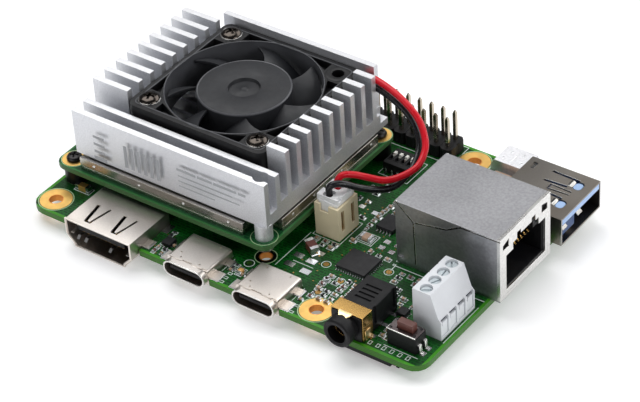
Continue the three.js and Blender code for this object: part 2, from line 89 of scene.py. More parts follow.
class Nodes:
    """A short way to write a material's node tree."""

    def __init__(self, name):
        self.material = bpy.data.materials.new(name)
        self.material.use_nodes = True
        self.tree = self.material.node_tree
        self.shader = self.tree.nodes["Principled BSDF"]
        self.coords = self.tree.nodes.new("ShaderNodeTexCoord").outputs["Object"]

    def add(self, kind, **inputs):
        node = self.tree.nodes.new(kind)
        for key, value in inputs.items():
            if key in node.inputs:
                self.put(node.inputs[key], value)
            else:
                setattr(node, key, value)
        return node

    def put(self, socket, value):
        if isinstance(value, bpy.types.NodeSocket):
            self.tree.links.new(value, socket)
        else:
            socket.default_value = value

    def set(self, name, value):
        self.put(self.shader.inputs[name], value)

    def math(self, operation, a, b=0.0, clamp=False):
        node = self.tree.nodes.new("ShaderNodeMath")
        node.operation = operation
        node.use_clamp = clamp
        self.put(node.inputs[0], a)
        self.put(node.inputs[1], b)
        return node.outputs[0]

    def noise(self, scale, detail=3.0, stretch=(1, 1, 1)):
        mapping = self.add("ShaderNodeMapping", Vector=self.coords, Scale=stretch)
        noise = self.add("ShaderNodeTexNoise", Vector=mapping.outputs[0], Scale=scale, Detail=detail)
        return noise.outputs["Fac"]

    def ramp(self, value, low, high, start=0.35, stop=0.65):
        """Maps value from start..stop to low..high, as numbers or as colours."""
        if isinstance(low, (int, float)):
            node = self.add("ShaderNodeMapRange")
            limits = {"Value": value, "From Min": start, "From Max": stop, "To Min": low, "To Max": high}
            for key, limit in limits.items():
                self.put(node.inputs[key], limit)
            return node.outputs[0]
        node = self.tree.nodes.new("ShaderNodeValToRGB")
        self.put(node.inputs[0], value)
        node.color_ramp.elements[0].position = start
        node.color_ramp.elements[1].position = stop
        node.color_ramp.elements[0].color = (*low, 1)
        node.color_ramp.elements[1].color = (*high, 1)
        return node.outputs[0]

    def mix(self, factor, a, b):
        node = self.tree.nodes.new("ShaderNodeMix")
        node.data_type = "RGBA"
        self.put(node.inputs[0], factor)
        self.put(node.inputs[6], a if isinstance(a, bpy.types.NodeSocket) else (*a, 1))
        self.put(node.inputs[7], b if isinstance(b, bpy.types.NodeSocket) else (*b, 1))
        return node.outputs[2]

    def bump(self, height, strength, distance=0.00005):
        node = self.add("ShaderNodeBump", Height=height, Strength=strength, Distance=distance)
        self.put(self.shader.inputs["Normal"], node.outputs[0])

    def normal_z(self):
        geometry = self.tree.nodes.new("ShaderNodeNewGeometry")
        return self.add("ShaderNodeSeparateXYZ", Vector=geometry.outputs["Normal"]).outputs[2]

    def position(self):
        """The object's own x, y, z sockets, in metres in the frame."""
        return self.add("ShaderNodeSeparateXYZ", Vector=self.coords).outputs


def shade(color, factor):
    return tuple(min(1.0, c * factor) for c in color)


def plastic(name, color, roughness=0.5, grain=0.25, mottle=0.12, sheen=0.5):
    """Moulded plastic: a fine pebbled grain, uneven gloss and slightly cloudy colour."""
    n = Nodes(name)
    cloud = n.noise(180, 4)
    n.set("Base Color", n.ramp(cloud, shade(color, 1 - mottle), shade(color, 1 + mottle)))
    n.set("Roughness", n.ramp(n.noise(700, 3), roughness - 0.06, roughness + 0.08))
    n.set("Specular IOR Level", sheen)
    n.bump(n.noise(9000, 2), grain, 0.00002)
    return n.material


def metal(name, color, roughness=0.3, brushed=(1, 1, 1), grain=0.15, tarnish=None, wear=0.07):
    """Plated or bare metal: a fine grain along the rolling direction, faint smudges and a little tarnish."""
    n = Nodes(name)
    streak = n.noise(2200, 4, brushed)
    base = n.ramp(streak, shade(color, 1 - wear), shade(color, 1 + wear))
    if tarnish:
        base = n.mix(n.ramp(n.noise(80, 1), 0.0, 0.6, 0.35, 0.7), base, tarnish)
    n.set("Base Color", base)
    n.set("Metallic", 1.0)
    n.set("Roughness", n.ramp(n.noise(90, 1), roughness - 0.02, roughness + 0.03))
    n.bump(streak, grain, 0.000006)
    return n.material


def solder_mask(name, deep, light, rim, board, edge, laminate):
    """Green mask over copper: paler traces, a clear rim past the copper, and bare laminate at the edges."""
    n = Nodes(name)
    x, y, _ = n.position()
    brick = n.add("ShaderNodeTexBrick", Vector=n.coords, Scale=420.0)
    brick.offset = 0.37
    n.put(brick.inputs["Mortar Size"], 0.035)
    n.put(brick.inputs["Color1"], (0, 0, 0, 1))
    n.put(brick.inputs["Color2"], (0.25, 0.25, 0.25, 1))
    n.put(brick.inputs["Mortar"], (1, 1, 1, 1))
    cells = n.add("ShaderNodeTexVoronoi", Vector=n.coords, Scale=900.0)
    cells.feature = "DISTANCE_TO_EDGE"
    traces = n.ramp(cells.outputs["Distance"], 1.0, 0.0, 0.02, 0.06)
    fills = n.math("MULTIPLY", brick.outputs["Color"], 0.7)
    copper = n.math("MAXIMUM", fills, n.math("MULTIPLY", traces, 0.55))
    patches = n.ramp(n.noise(160, 2), 0.0, 1.0, 0.47, 0.53)
    strength = n.math("ADD", n.math("MULTIPLY", patches, 0.6), 0.4)
    green = n.mix(n.math("MULTIPLY", copper, strength), deep, light)
    left, right, front, back = board
    out_x = n.math("MAXIMUM", n.math("SUBTRACT", left + edge, x), n.math("SUBTRACT", x, right - edge))
    out_y = n.math("MAXIMUM", n.math("SUBTRACT", front + edge, y), n.math("SUBTRACT", y, back - edge))
    margin = n.ramp(n.math("MAXIMUM", out_x, out_y), 0.0, 1.0, -0.00003, 0.00003)
    face = n.mix(margin, green, rim)
    up = n.math("ABSOLUTE", n.normal_z())
    layers = n.add("ShaderNodeTexWave", Vector=n.coords, Scale=900.0)
    layers.bands_direction = "Z"
    side = n.ramp(layers.outputs["Fac"], shade(laminate, 0.75), laminate, 0.2, 0.8)
    n.set("Base Color", n.mix(n.ramp(up, 0.0, 1.0, 0.3, 0.6), side, face))
    n.set("Roughness", n.ramp(n.noise(900, 3), 0.28, 0.42))
    n.set("Specular IOR Level", 0.22)
    n.set("Coat Weight", 0.05)
    n.set("Coat Roughness", 0.18)
    n.bump(n.math("ADD", copper, n.math("MULTIPLY", n.noise(4000, 2), 0.2)), 0.35, 0.00003)
    return n.material


def blasted_aluminium():
    """Bead-blasted aluminium: a fine even grain; faces turned upward get a paler colour, a painted highlight,
    and a slightly lower roughness.
    """
    n = Nodes("blasted_aluminium")
    grain = n.noise(7000, 3)
    base = n.ramp(grain, (0.62, 0.63, 0.66), (0.78, 0.79, 0.82))
    # painted highlight: faces turned upward are mixed towards a paler grey
    top = n.ramp(n.normal_z(), 0.0, 1.0, 0.6, 0.95)
    n.set("Base Color", n.mix(top, base, n.ramp(grain, (0.78, 0.79, 0.81), (0.89, 0.89, 0.91))))
    n.set("Metallic", 0.85)
    n.set("Roughness", n.ramp(top, 0.47, 0.42, 0, 1))
    n.bump(grain, 0.3, 0.00003)
    return n.material


def gold(name, color=(0.80, 0.50, 0.15), roughness=0.40):
    n = Nodes(name)
    n.set("Base Color", n.ramp(n.noise(500, 3), shade(color, 0.88), shade(color, 1.08)))
    n.set("Metallic", 0.9)
    n.set("Roughness", n.ramp(n.noise(300, 2), roughness - 0.04, roughness + 0.05))
    n.bump(n.noise(2500, 2), 0.12, 0.00001)
    return n.material


def floor_material():
    n = Nodes("studio_floor")
    n.set("Base Color", n.ramp(n.noise(3, 2), (0.86, 0.86, 0.87), (0.89, 0.89, 0.90)))
    n.set("Roughness", 0.6)
    n.set("Emission Color", (1, 1, 1, 1))
    n.set("Emission Strength", 0.27)
    return n.material


LEFT, FRONT = ORIGIN[0], ORIGIN[1]
MODULE = span("module_pcb")
MASK = solder_mask(
    "carrier_mask", (0.0005, 0.028, 0.003), (0.008, 0.17, 0.018), (0.05, 0.28, 0.012),
    (LEFT, LEFT + BOARD[0] * MM, FRONT, FRONT + BOARD[1] * MM), 0.0006, (0.045, 0.17, 0.015))
MODULE_MASK = solder_mask(
    "module_mask", (0.003, 0.045, 0.012), (0.02, 0.15, 0.045), (0.035, 0.18, 0.045),
    (place(MODULE[0][0], 0, 0)[0], place(MODULE[0][1], 0, 0)[0],
     place(0, MODULE[1][0], 0)[1], place(0, MODULE[1][1], 0)[1]), 0.0004, (0.06, 0.15, 0.05))
ALUMINIUM = blasted_aluminium()
GOLD = gold("plated_ring")
PIN_GOLD = metal("pin_plating", (0.52, 0.46, 0.37), 0.22, (1, 1, 6), grain=0.1)
COPPER = gold("hole_wall", (0.78, 0.33, 0.08), 0.4)
NICKEL = metal("nickel_shell", (0.76, 0.71, 0.66), 0.32, (1, 8, 1), grain=0.1, tarnish=(0.62, 0.55, 0.48))
LAN_STEEL = metal("lan_steel", (0.37, 0.37, 0.385), 0.36, grain=0.25, wear=0.10)
DARK_STEEL = metal("dark_steel", (0.27, 0.25, 0.225), 0.30, (1, 7, 7), tarnish=(0.22, 0.18, 0.14))
PALE_STEEL = metal("pale_steel", (0.72, 0.71, 0.69), 0.26, (7, 1, 1))
CAN_STEEL = metal("can_steel", (0.50, 0.48, 0.45), 0.24, (1, 1, 9), tarnish=(0.36, 0.33, 0.28))
ZINC = plastic("zinc_screw", (0.50, 0.56, 0.59), 0.3, 0.3, 0.06, 0.9)
STEEL = metal("screw_steel", (0.42, 0.38, 0.34), 0.26, grain=0.15)
BLACK_METAL = metal("black_oxide", (0.035, 0.034, 0.034), 0.38, grain=0.4)
SOLDER = metal("solder", (0.74, 0.75, 0.76), 0.24, grain=0.35)
CLIP_GOLD = metal("clip_gold", (0.46, 0.28, 0.09), 0.22, grain=0.0, wear=0.04)
TONGUE_GOLD = metal("tongue_gold", (0.90, 0.66, 0.34), 0.3, grain=0.05)
SPRING_STEEL = metal("spring_steel", (0.36, 0.35, 0.33), 0.2, grain=0.1)
BRIGHT_TIN = metal("bright_tin", (0.88, 0.88, 0.90), 0.42, grain=0.4)
BRONZE = gold("bronze", (0.60, 0.38, 0.16), 0.45)
WINDING = gold("winding", (0.55, 0.20, 0.07), 0.4)
BLACK = plastic("black_plastic", (0.004, 0.004, 0.005), 0.5, 0.35, sheen=0.28)
FAN_BLACK = plastic("fan_plastic", (0.006, 0.006, 0.007), 0.42, 0.5, sheen=0.35)
ROTOR_GREY = plastic("rotor_plastic", (0.016, 0.017, 0.020), 0.45, 0.5, sheen=0.4)
CHIP = plastic("chip_moulding", (0.005, 0.005, 0.007), 0.5, 0.6, sheen=0.4)
TERMINAL = plastic("terminal_grey", (0.70, 0.72, 0.75), 0.5, 0.3, 0.05)
BROWN = plastic("button_brown", (0.12, 0.04, 0.03), 0.4, 0.3)
SLIDER = plastic("slider_white", (0.80, 0.79, 0.74), 0.45, 0.2, 0.05)
CREAM = plastic("cream_nylon", (0.78, 0.68, 0.46), 0.42, 0.3, 0.06)
WHITE = plastic("white_nylon", (0.86, 0.87, 0.88), 0.35, 0.2, 0.04)
BLUE = plastic("blue_plastic", (0.03, 0.12, 0.42), 0.4, 0.3)
RED_WIRE = plastic("red_insulation", (0.60, 0.001, 0.012), 0.32, 0.15, 0.08, 0.4)
BLACK_WIRE = plastic("black_insulation", (0.006, 0.006, 0.008), 0.28, 0.15, sheen=0.45)
SILK = plastic("silkscreen_ink", (0.72, 0.80, 0.77), 0.6, 0.2, 0.05)
CERAMIC = plastic("ceramic_tan", (0.34, 0.22, 0.13), 0.45, 0.2, 0.25)
MAROON = plastic("ceramic_maroon", (0.13, 0.035, 0.025), 0.4, 0.2, 0.2)
AMBER = plastic("amber_lens", (0.75, 0.42, 0.14), 0.25, 0.1, 0.15)
TAN = plastic("tan_part", (0.50, 0.33, 0.23), 0.45, 0.25, 0.15)
PAD_GREY = plastic("soft_pad", (0.30, 0.35, 0.42), 0.8, 0.6)
LEAD_IN = plastic("margin_green", (0.42, 0.60, 0.33), 0.5, 0.2, 0.1)
DEEP_BLUE = plastic("deep_blue_plastic", (0.006, 0.05, 0.17), 0.4, 0.3)
# painted highlight: a pale copy of the connector's blue plastic, for its top-lit faces
LIT_BLUE = plastic("lit_blue_plastic", (0.36, 0.52, 0.80), 0.35, 0.2, 0.06)
HUB_GREY = plastic("hub_plastic", (0.017, 0.018, 0.021), 0.5, 0.6, sheen=0.4)
RIM_GREY = plastic("rim_plastic", (0.07, 0.072, 0.08), 0.35, 0.3)
SCREW_DARK = metal("dark_screw", (0.07, 0.06, 0.052), 0.2, grain=0.2)
PLATE_DARK = metal("dark_plate", (0.13, 0.11, 0.11), 0.25, grain=0.15)
MARK_GREY = plastic("engraving_grey", (0.36, 0.37, 0.39), 0.6, 0.4, 0.1)
MAGNET = plastic("ferrite", (0.03, 0.03, 0.032), 0.7, 0.6)


# ---- mesh building ----

AXES = {
    "x": lambda u, v, w: (w, u, v),
    "y": lambda u, v, w: (u, w, v),
    "z": lambda u, v, w: (u, v, w),
}


def circle(cu, cv, r, n=32, start=0.0):
    return [(cu + r * math.cos(start + 2 * math.pi * i / n), cv + r * math.sin(start + 2 * math.pi * i / n))
            for i in range(n)]


def rounded(u, v, r, steps=5):
    corners = [(u[1] - r, v[1] - r), (u[0] + r, v[1] - r), (u[0] + r, v[0] + r), (u[1] - r, v[0] + r)]
    return [(cu + r * math.cos((q + i / steps) * math.pi / 2),
             cv + r * math.sin((q + i / steps) * math.pi / 2))
            for q, (cu, cv) in enumerate(corners) for i in range(steps + 1)]


def outline_box(x, y):
    return [(x[0], y[0]), (x[1], y[0]), (x[1], y[1]), (x[0], y[1])]


def inset(limits, by):
    return (limits[0] + by, limits[1] - by)


class Shape:
    """A mesh being built in board coordinates."""

    def __init__(self):
        self.bm = bmesh.new()

    def prism(self, outline, axis, limits):
        """The outline lies across the axis, as (x, y), (x, z) or (y, z)."""
        turn = AXES[axis]
        rings = [[self.bm.verts.new(turn(u, v, w)) for u, v in outline] for w in limits]
        n = len(outline)
        self.bm.faces.new(rings[0])
        self.bm.faces.new(rings[1])
        for i in range(n):
            self.bm.faces.new((rings[0][i], rings[0][(i + 1) % n], rings[1][(i + 1) % n], rings[1][i]))

    def hollow(self, outer, inner, axis, limits):
        """A straight tube whose outer and inner outlines have the same number of points."""
        turn = AXES[axis]
        o = [[self.bm.verts.new(turn(u, v, w)) for u, v in outer] for w in limits]
        i = [[self.bm.verts.new(turn(u, v, w)) for u, v in inner] for w in limits]
        n = len(outer)
        for a in range(n):
            b = (a + 1) % n
            self.bm.faces.new((o[0][a], o[0][b], o[1][b], o[1][a]))
            self.bm.faces.new((i[0][a], i[1][a], i[1][b], i[0][b]))
            for end in (0, 1):
                self.bm.faces.new((o[end][a], i[end][a], i[end][b], o[end][b]))

    def box(self, x, y, z, turn=0.0):
        if turn:
            cx, cy = (x[0] + x[1]) / 2, (y[0] + y[1]) / 2
            c, s = math.cos(turn), math.sin(turn)
            flat = [(cx + (u - cx) * c - (v - cy) * s, cy + (u - cx) * s + (v - cy) * c)
                    for u, v in outline_box(x, y)]
            self.prism(flat, "z", z)
        else:
            self.prism(outline_box(x, y), "z", z)

    def lathe(self, centre, profile, axis="z", n=32):
        """Turns (radius, height) points about an axis through centre. A zero radius closes the shape."""
        turn = AXES[axis]
        rings = []
        for r, h in profile:
            if r <= 0:
                rings.append([self.bm.verts.new(turn(centre[0], centre[1], h))])
            else:
                rings.append([self.bm.verts.new(turn(u, v, h)) for u,
                              v in circle(centre[0], centre[1], r, n)])
        for low, high in zip(rings, rings[1:]):
            for i in range(n):
                j = (i + 1) % n
                quad = [low[i % len(low)], low[j % len(low)], high[j % len(high)], high[i % len(high)]]
                unique = [v for k, v in enumerate(quad) if v not in quad[:k]]
                if len(unique) > 2:
                    self.bm.faces.new(unique)

    def ring(self, centre, inner, outer, limits, axis="z", n=40):
        points = [(inner, limits[0]), (outer, limits[0]), (outer, limits[1]), (inner, limits[1]),
                  (inner, limits[0])]
        rings = [[self.bm.verts.new(AXES[axis](u, v, h)) for u, v in circle(centre[0], centre[1], r, n)]
                 for r, h in points[:-1]]
        for k in range(4):
            a, b = rings[k], rings[(k + 1) % 4]
            for i in range(n):
                j = (i + 1) % n
                self.bm.faces.new((a[i], a[j], b[j], b[i]))

    def tube(self, path, r, n=16, steps=8):
        """A round wire along a smooth curve through the path's points."""
        points = smooth_path([Vector(p) for p in path], steps)
        side = Vector((0, 0, 1))
        rings = []
        for k, p in enumerate(points):
            ahead = (points[min(k + 1, len(points) - 1)] - points[max(k - 1, 0)]).normalized()
            side = (side - ahead * side.dot(ahead)).normalized()
            other = ahead.cross(side)
            rings.append([self.bm.verts.new(p + (side * math.cos(a) + other * math.sin(a)) * r)
                          for a in (2 * math.pi * i / n for i in range(n))])
        for low, high in zip(rings, rings[1:]):
            for i in range(n):
                self.bm.faces.new((low[i], low[(i + 1) % n], high[(i + 1) % n], high[i]))
        self.bm.faces.new(rings[0])
        self.bm.faces.new(rings[-1])

    def sheet(self, path, width, thick, across="y"):
        """A bent strip of sheet metal: path is (u, w) points, width is the range across it."""
        outer = []
        for k, p in enumerate(path):
            a = Vector(path[max(k - 1, 0)])
            b = Vector(path[min(k + 1, len(path) - 1)])
            d = (b - a).normalized()
            outer.append((p[0] - d[1] * thick, p[1] + d[0] * thick))
        outline = list(path) + outer[::-1]
        self.prism(outline, across, width)

    def mesh(self, name):
        bmesh.ops.recalc_face_normals(self.bm, faces=self.bm.faces)
        for v in self.bm.verts:
            v.co = ORIGIN + v.co * MM
        data = bpy.data.meshes.new(name)
        self.bm.to_mesh(data)
        self.bm.free()
        return data


def smooth_path(points, steps):
    out = []
    for k in range(len(points) - 1):
        p0, p1 = points[max(k - 1, 0)], points[k]
        p2, p3 = points[k + 1], points[min(k + 2, len(points) - 1)]
        for i in range(steps):
            t = i / steps
            out.append(0.5 * (2 * p1 + (p2 - p0) * t + (2 * p0 - 5 * p1 + 4 * p2 - p3) * t * t
                              + (3 * p1 - p0 - 3 * p2 + p3) * t ** 3))
    return out + [points[-1]]


def modify(obj, kind, name, **settings):
    modifier = obj.modifiers.new(name, kind)
    for key, value in settings.items():
        setattr(modifier, key, value)


def bake_modifiers(obj):
    graph = bpy.context.evaluated_depsgraph_get()
    done = bpy.data.meshes.new_from_object(obj.evaluated_get(graph))
    obj.modifiers.clear()
    obj.data = done


def cut(obj, cutter):
    """Takes the cutter shape out of the piece."""
    tool = bpy.data.objects.new("cutter", cutter.mesh("cutter"))
    bpy.context.scene.collection.objects.link(tool)
    modify(obj, "BOOLEAN", "cut", operation="DIFFERENCE", object=tool, solver="EXACT",
           use_self=True)
    bake_modifiers(obj)
    bpy.data.objects.remove(tool)


def finish_edges(obj, bevel, segments=2, angle=35):
    obj.data.polygons.foreach_set("use_smooth", [True] * len(obj.data.polygons))
    obj.data.set_sharp_from_angle(angle=math.radians(angle))
    if bevel:
        modify(obj, "BEVEL", "edge", width=bevel * MM, segments=segments, limit_method="ANGLE",
               angle_limit=math.radians(angle), harden_normals=False, miter_outer="MITER_ARC")
        modify(obj, "WEIGHTED_NORMAL", "shade", keep_sharp=False, weight=60)


def piece(name, shape, material, body="board", bevel=0.0, cutter=None, segments=2, replaces=()):
    obj = bpy.data.objects.new(name, shape.mesh(name))
    bpy.context.scene.collection.objects.link(obj)
    if cutter is not None:
        cut(obj, cutter)
    obj.data.materials.clear()
    obj.data.materials.append(material)
    finish_edges(obj, bevel, segments)
    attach(obj, body)
    if replaces:
        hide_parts(*replaces)
    return obj


def dress(node, material, bevel=0.08):
    """Keeps a CAD node as it is, with softened edges and its own material."""
    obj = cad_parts[node]
    obj.data.materials.clear()
    obj.data.materials.append(material)
    modify(obj, "WELD", "weld", merge_threshold=0.002 * MM)
    modify(obj, "DECIMATE", "flats", decimate_type="DISSOLVE", angle_limit=math.radians(0.5))
    if bevel:
        modify(obj, "BEVEL", "edge", width=bevel * MM, segments=2, limit_method="ANGLE",
               angle_limit=math.radians(35), use_clamp_overlap=True)
    modify(obj, "WEIGHTED_NORMAL", "shade", keep_sharp=False, weight=60)
    obj.data.polygons.foreach_set("use_smooth", [True] * len(obj.data.polygons))


# ---- stage ----

def stage():
    shape = bmesh.new()
    bmesh.ops.create_grid(shape, x_segments=2, y_segments=2, size=3.0)
    data = bpy.data.meshes.new("floor")
    shape.to_mesh(data)
    floor = bpy.data.objects.new("floor", data)
    floor.location.z = cad_box[0][2] - 0.0001
    data.materials.append(floor_material())
    bpy.context.scene.collection.objects.link(floor)


def lamp(name, at, toward, size, power, color=(1, 1, 1)):
    data = bpy.data.lights.new(name, "AREA")
    data.shape = "RECTANGLE"
    data.size, data.size_y = size
    data.energy = power
    data.color = color
    obj = bpy.data.objects.new(name, data)
    obj.location = at
    obj.rotation_euler = (Vector(toward) - Vector(at)).to_track_quat("-Z", "Y").to_euler()
    bpy.context.scene.collection.objects.link(obj)


def lights():
    lamp("key", (-0.25, 0.10, 0.55), (0, 0, 0), (0.5, 0.5), 2.6)
    lamp("back", (0.15, 0.50, 0.42), (0, 0, 0), (0.7, 0.35), 2.2)
    lamp("side", (0.55, -0.05, 0.30), (0, 0, 0.005), (0.4, 0.3), 1.3)
    lamp("front", (-0.10, -0.55, 0.22), (0, 0, 0.01), (0.6, 0.25), 0.85)
    world = bpy.data.worlds.new("studio")
    world.use_nodes = True
    world.node_tree.nodes["Background"].inputs[0].default_value = (0.93, 0.95, 1.0, 1)
    world.node_tree.nodes["Background"].inputs[1].default_value = 0.12
    bpy.context.scene.world = world


CAMERA_AT = (265.2, -253.3, 275.04)
CAMERA_LOOK = (-0.48927, 0.62391, -0.60939)
CAMERA_RIGHT = (0.81028, 0.58364, -0.05301)
CAMERA_LENS = 142.1


def camera():
    data = bpy.data.cameras.new("camera")
    data.lens = CAMERA_LENS
    data.sensor_width = 36
    data.clip_start = 0.01
    obj = bpy.data.objects.new("camera", data)
    look, right = Vector(CAMERA_LOOK).normalized(), Vector(CAMERA_RIGHT).normalized()
    up = right.cross(look)
    turn = Matrix((right, up, -look)).transposed()
    obj.matrix_world = Matrix.Translation(place(*CAMERA_AT)) @ turn.to_4x4()
    bpy.context.scene.collection.objects.link(obj)
    bpy.context.scene.camera = obj
    bpy.context.scene.view_settings.view_transform = "Standard"


# ---- small helpers for flat and repeated details ----

def patch(shape, at, turn, u, v, z):
    """A box given by ranges along its own turned axes."""
    c, s = math.cos(turn), math.sin(turn)
    shape.prism([(at[0] + a * c - b * s, at[1] + a * s + b * c) for a, b in outline_box(u, v)], "z", z)


def bar(shape, a, b, width, z):
    """A straight strip between two (x, y) points."""
    length, turn = math.dist(a, b), math.atan2(b[1] - a[1], b[0] - a[0])
    patch(shape, a, turn, (0, length), (-width / 2, width / 2), z)


def box_frame(shape, x, y, z, width=0.12):
    shape.hollow(outline_box(x, y), outline_box(inset(x, width), inset(y, width)), "z", z)


def remade(name, node, material, cutter=None, bevel=0.06, body="board", segments=2):
    """A copy that stands for a CAD node, with a cutter taken out of it and its edges softened."""
    obj = bpy.data.objects.new(name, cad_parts[node].data.copy())
    bpy.context.scene.collection.objects.link(obj)
    mesh = bmesh.new()
    mesh.from_mesh(obj.data)
    bmesh.ops.remove_doubles(mesh, verts=mesh.verts, dist=0.002 * MM)
    bmesh.ops.dissolve_limit(mesh, angle_limit=math.radians(0.5), verts=mesh.verts, edges=mesh.edges)
    mesh.to_mesh(obj.data)
    mesh.free()
    if cutter is not None:
        cut(obj, cutter)
    obj.data.materials.clear()
    obj.data.materials.append(material)
    finish_edges(obj, bevel, segments)
    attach(obj, body)
    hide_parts(node)
    return obj


def soldered(shape, at, steps, tip, n=16):
    """A soldered lead under the carrier: (radius, depth) steps below its face, closed at the tip's depth."""
    shape.lathe(at, [(0, UNDER + 0.05)] + [(r, UNDER - depth) for r,
                                           depth in steps] + [(0, UNDER - tip)], n=n)


# ---- plated holes and silkscreen ----

MODULE_HOLES = [(2.6, 10.5), (45.6, 10.5), (2.6, 45.4), (45.6, 45.4)]
MODULE_TOP = span("module_pcb")[2][1]
PROUD = 0.02


def plated_holes():
    rings, walls, margins = Shape(), Shape(), Shape()
    for at in CORNER_HOLES:
        rings.ring(at, 1.36, 3.0, (-0.05, 2 * PROUD))
        rings.ring(at, 1.36, 3.0, (UNDER - 0.08, UNDER - 0.03))
        walls.ring(at, 1.27, 1.39, (UNDER - 0.09, 2.5 * PROUD))
        margins.ring(at, 3.12, 3.3, (-0.05, PROUD))
    for at in MODULE_HOLES[:1] + MODULE_HOLES[2:]:
        rings.ring(at, 1.18, 2.3, (MODULE_TOP - 0.05, MODULE_TOP + 2 * PROUD))
    for at in MODULE_HOLES:
        walls.ring(at, 1.1, 1.26, (UNDER - 0.02, 1.5 * PROUD))
        margins.ring(at, 2.35, 2.47, (MODULE_TOP - 0.05, MODULE_TOP + PROUD))
        margins.ring(at, 1.9, 2.05, (-0.05, PROUD))
    piece("plated_rings", rings, GOLD)
    piece("hole_walls", walls, COPPER)
    piece("ring_margins", margins, LEAD_IN)
    dark = Shape()
    dark.ring(MODULE_HOLES[1], 1.3, 1.85, (-0.05, PROUD))
    dark.ring((44.25, 7.45), 0.52, 0.7, (-0.05, PROUD))
    piece("dark_rings", dark, BLACK_METAL)


def silkscreen():
    z = (-0.02, PROUD)
    ink = Shape()
    bar(ink, (48.3, 9.5), (48.3, 20.2), 0.14, z)
    bar(ink, (50.2, 12.2), (54.5, 12.2), 0.14, z)
    bar(ink, (66.2, 20.3), (84.4, 20.3), 0.16, z)
    bar(ink, (66.2, 20.3), (66.2, 17.6), 0.16, z)
    bar(ink, (62.8, 38.4), (84.3, 38.4), 0.14, z)
    bar(ink, (77.5, 7.6), (77.5, 19.0), 0.12, z)
    bar(ink, (84.4, 7.7), (84.4, 18.5), 0.12, z)
    bar(ink, (83.0, 2.2), (76.2, 2.2), 0.12, z)
    bar(ink, (74.9, 4.2), (74.9, 8.4), 0.14, z)
    box_frame(ink, (6.6, 58.4), (49.4, 55.6), z, 0.14)
    box_frame(ink, (48.4, 54.8), (40.6, 47.4), z, 0.12)
    box_frame(ink, (48.7, 54.7), (20.0, 27.0), z, 0.12)
    box_frame(ink, (64.8, 73.2), (51.4, 55.6), z, 0.12)
    box_frame(ink, (73.0, 84.8), (39.4, 53.7), z, 0.12)
    for x in (36.5, 51.5):
        bar(ink, (x - 4.2, 7.5), (x + 4.2, 7.5), 0.12, z)
        bar(ink, (x + 5.0, 7.0), (x + 5.0, 3.2), 0.1, z)
    ink.ring((44.25, 7.45), 0.85, 0.98, z)
    ink.ring((76.4, 15.2), 0.5, 0.62, z)
    labels(ink, (76.8, 0.95), (81.6, 0.95), 0.95, z)
    labels(ink, (28.4, 0.9), (28.4, 3.6), 0.85, z)
    labels(ink, (43.6, 0.9), (43.6, 3.4), 0.85, z)
    labels(ink, (58.6, 0.8), (58.6, 2.6), 0.8, z)
    labels(ink, (65.6, 21.6), (65.6, 20.4), 0.6, z)
    labels(ink, (74.0, 1.0), (75.6, 1.0), 0.9, z)
    piece("carrier_silkscreen", ink, SILK)


def labels(ink, a, b, tall, z):
    """Where a printed label was: a row of blank boxes that spell nothing."""
    count = max(2, round(math.dist(a, b) / (tall * 1.15)))
    turn = math.atan2(b[1] - a[1], b[0] - a[0])
    for k in range(count):
        at = [a[i] + (b[i] - a[i]) * k / (count - 1) for i in (0, 1)]
        for v in ((0, 0.11), (tall - 0.11, tall)):
            patch(ink, at, turn, (-tall * 0.36, tall * 0.36), v, z)
        for u in (-tall * 0.36, tall * 0.36 - 0.11):
            patch(ink, at, turn, (u, u + 0.11), (0.11, tall - 0.11), z)


# ---- surface mounted parts ----

GRID = (1.75, 1.25)

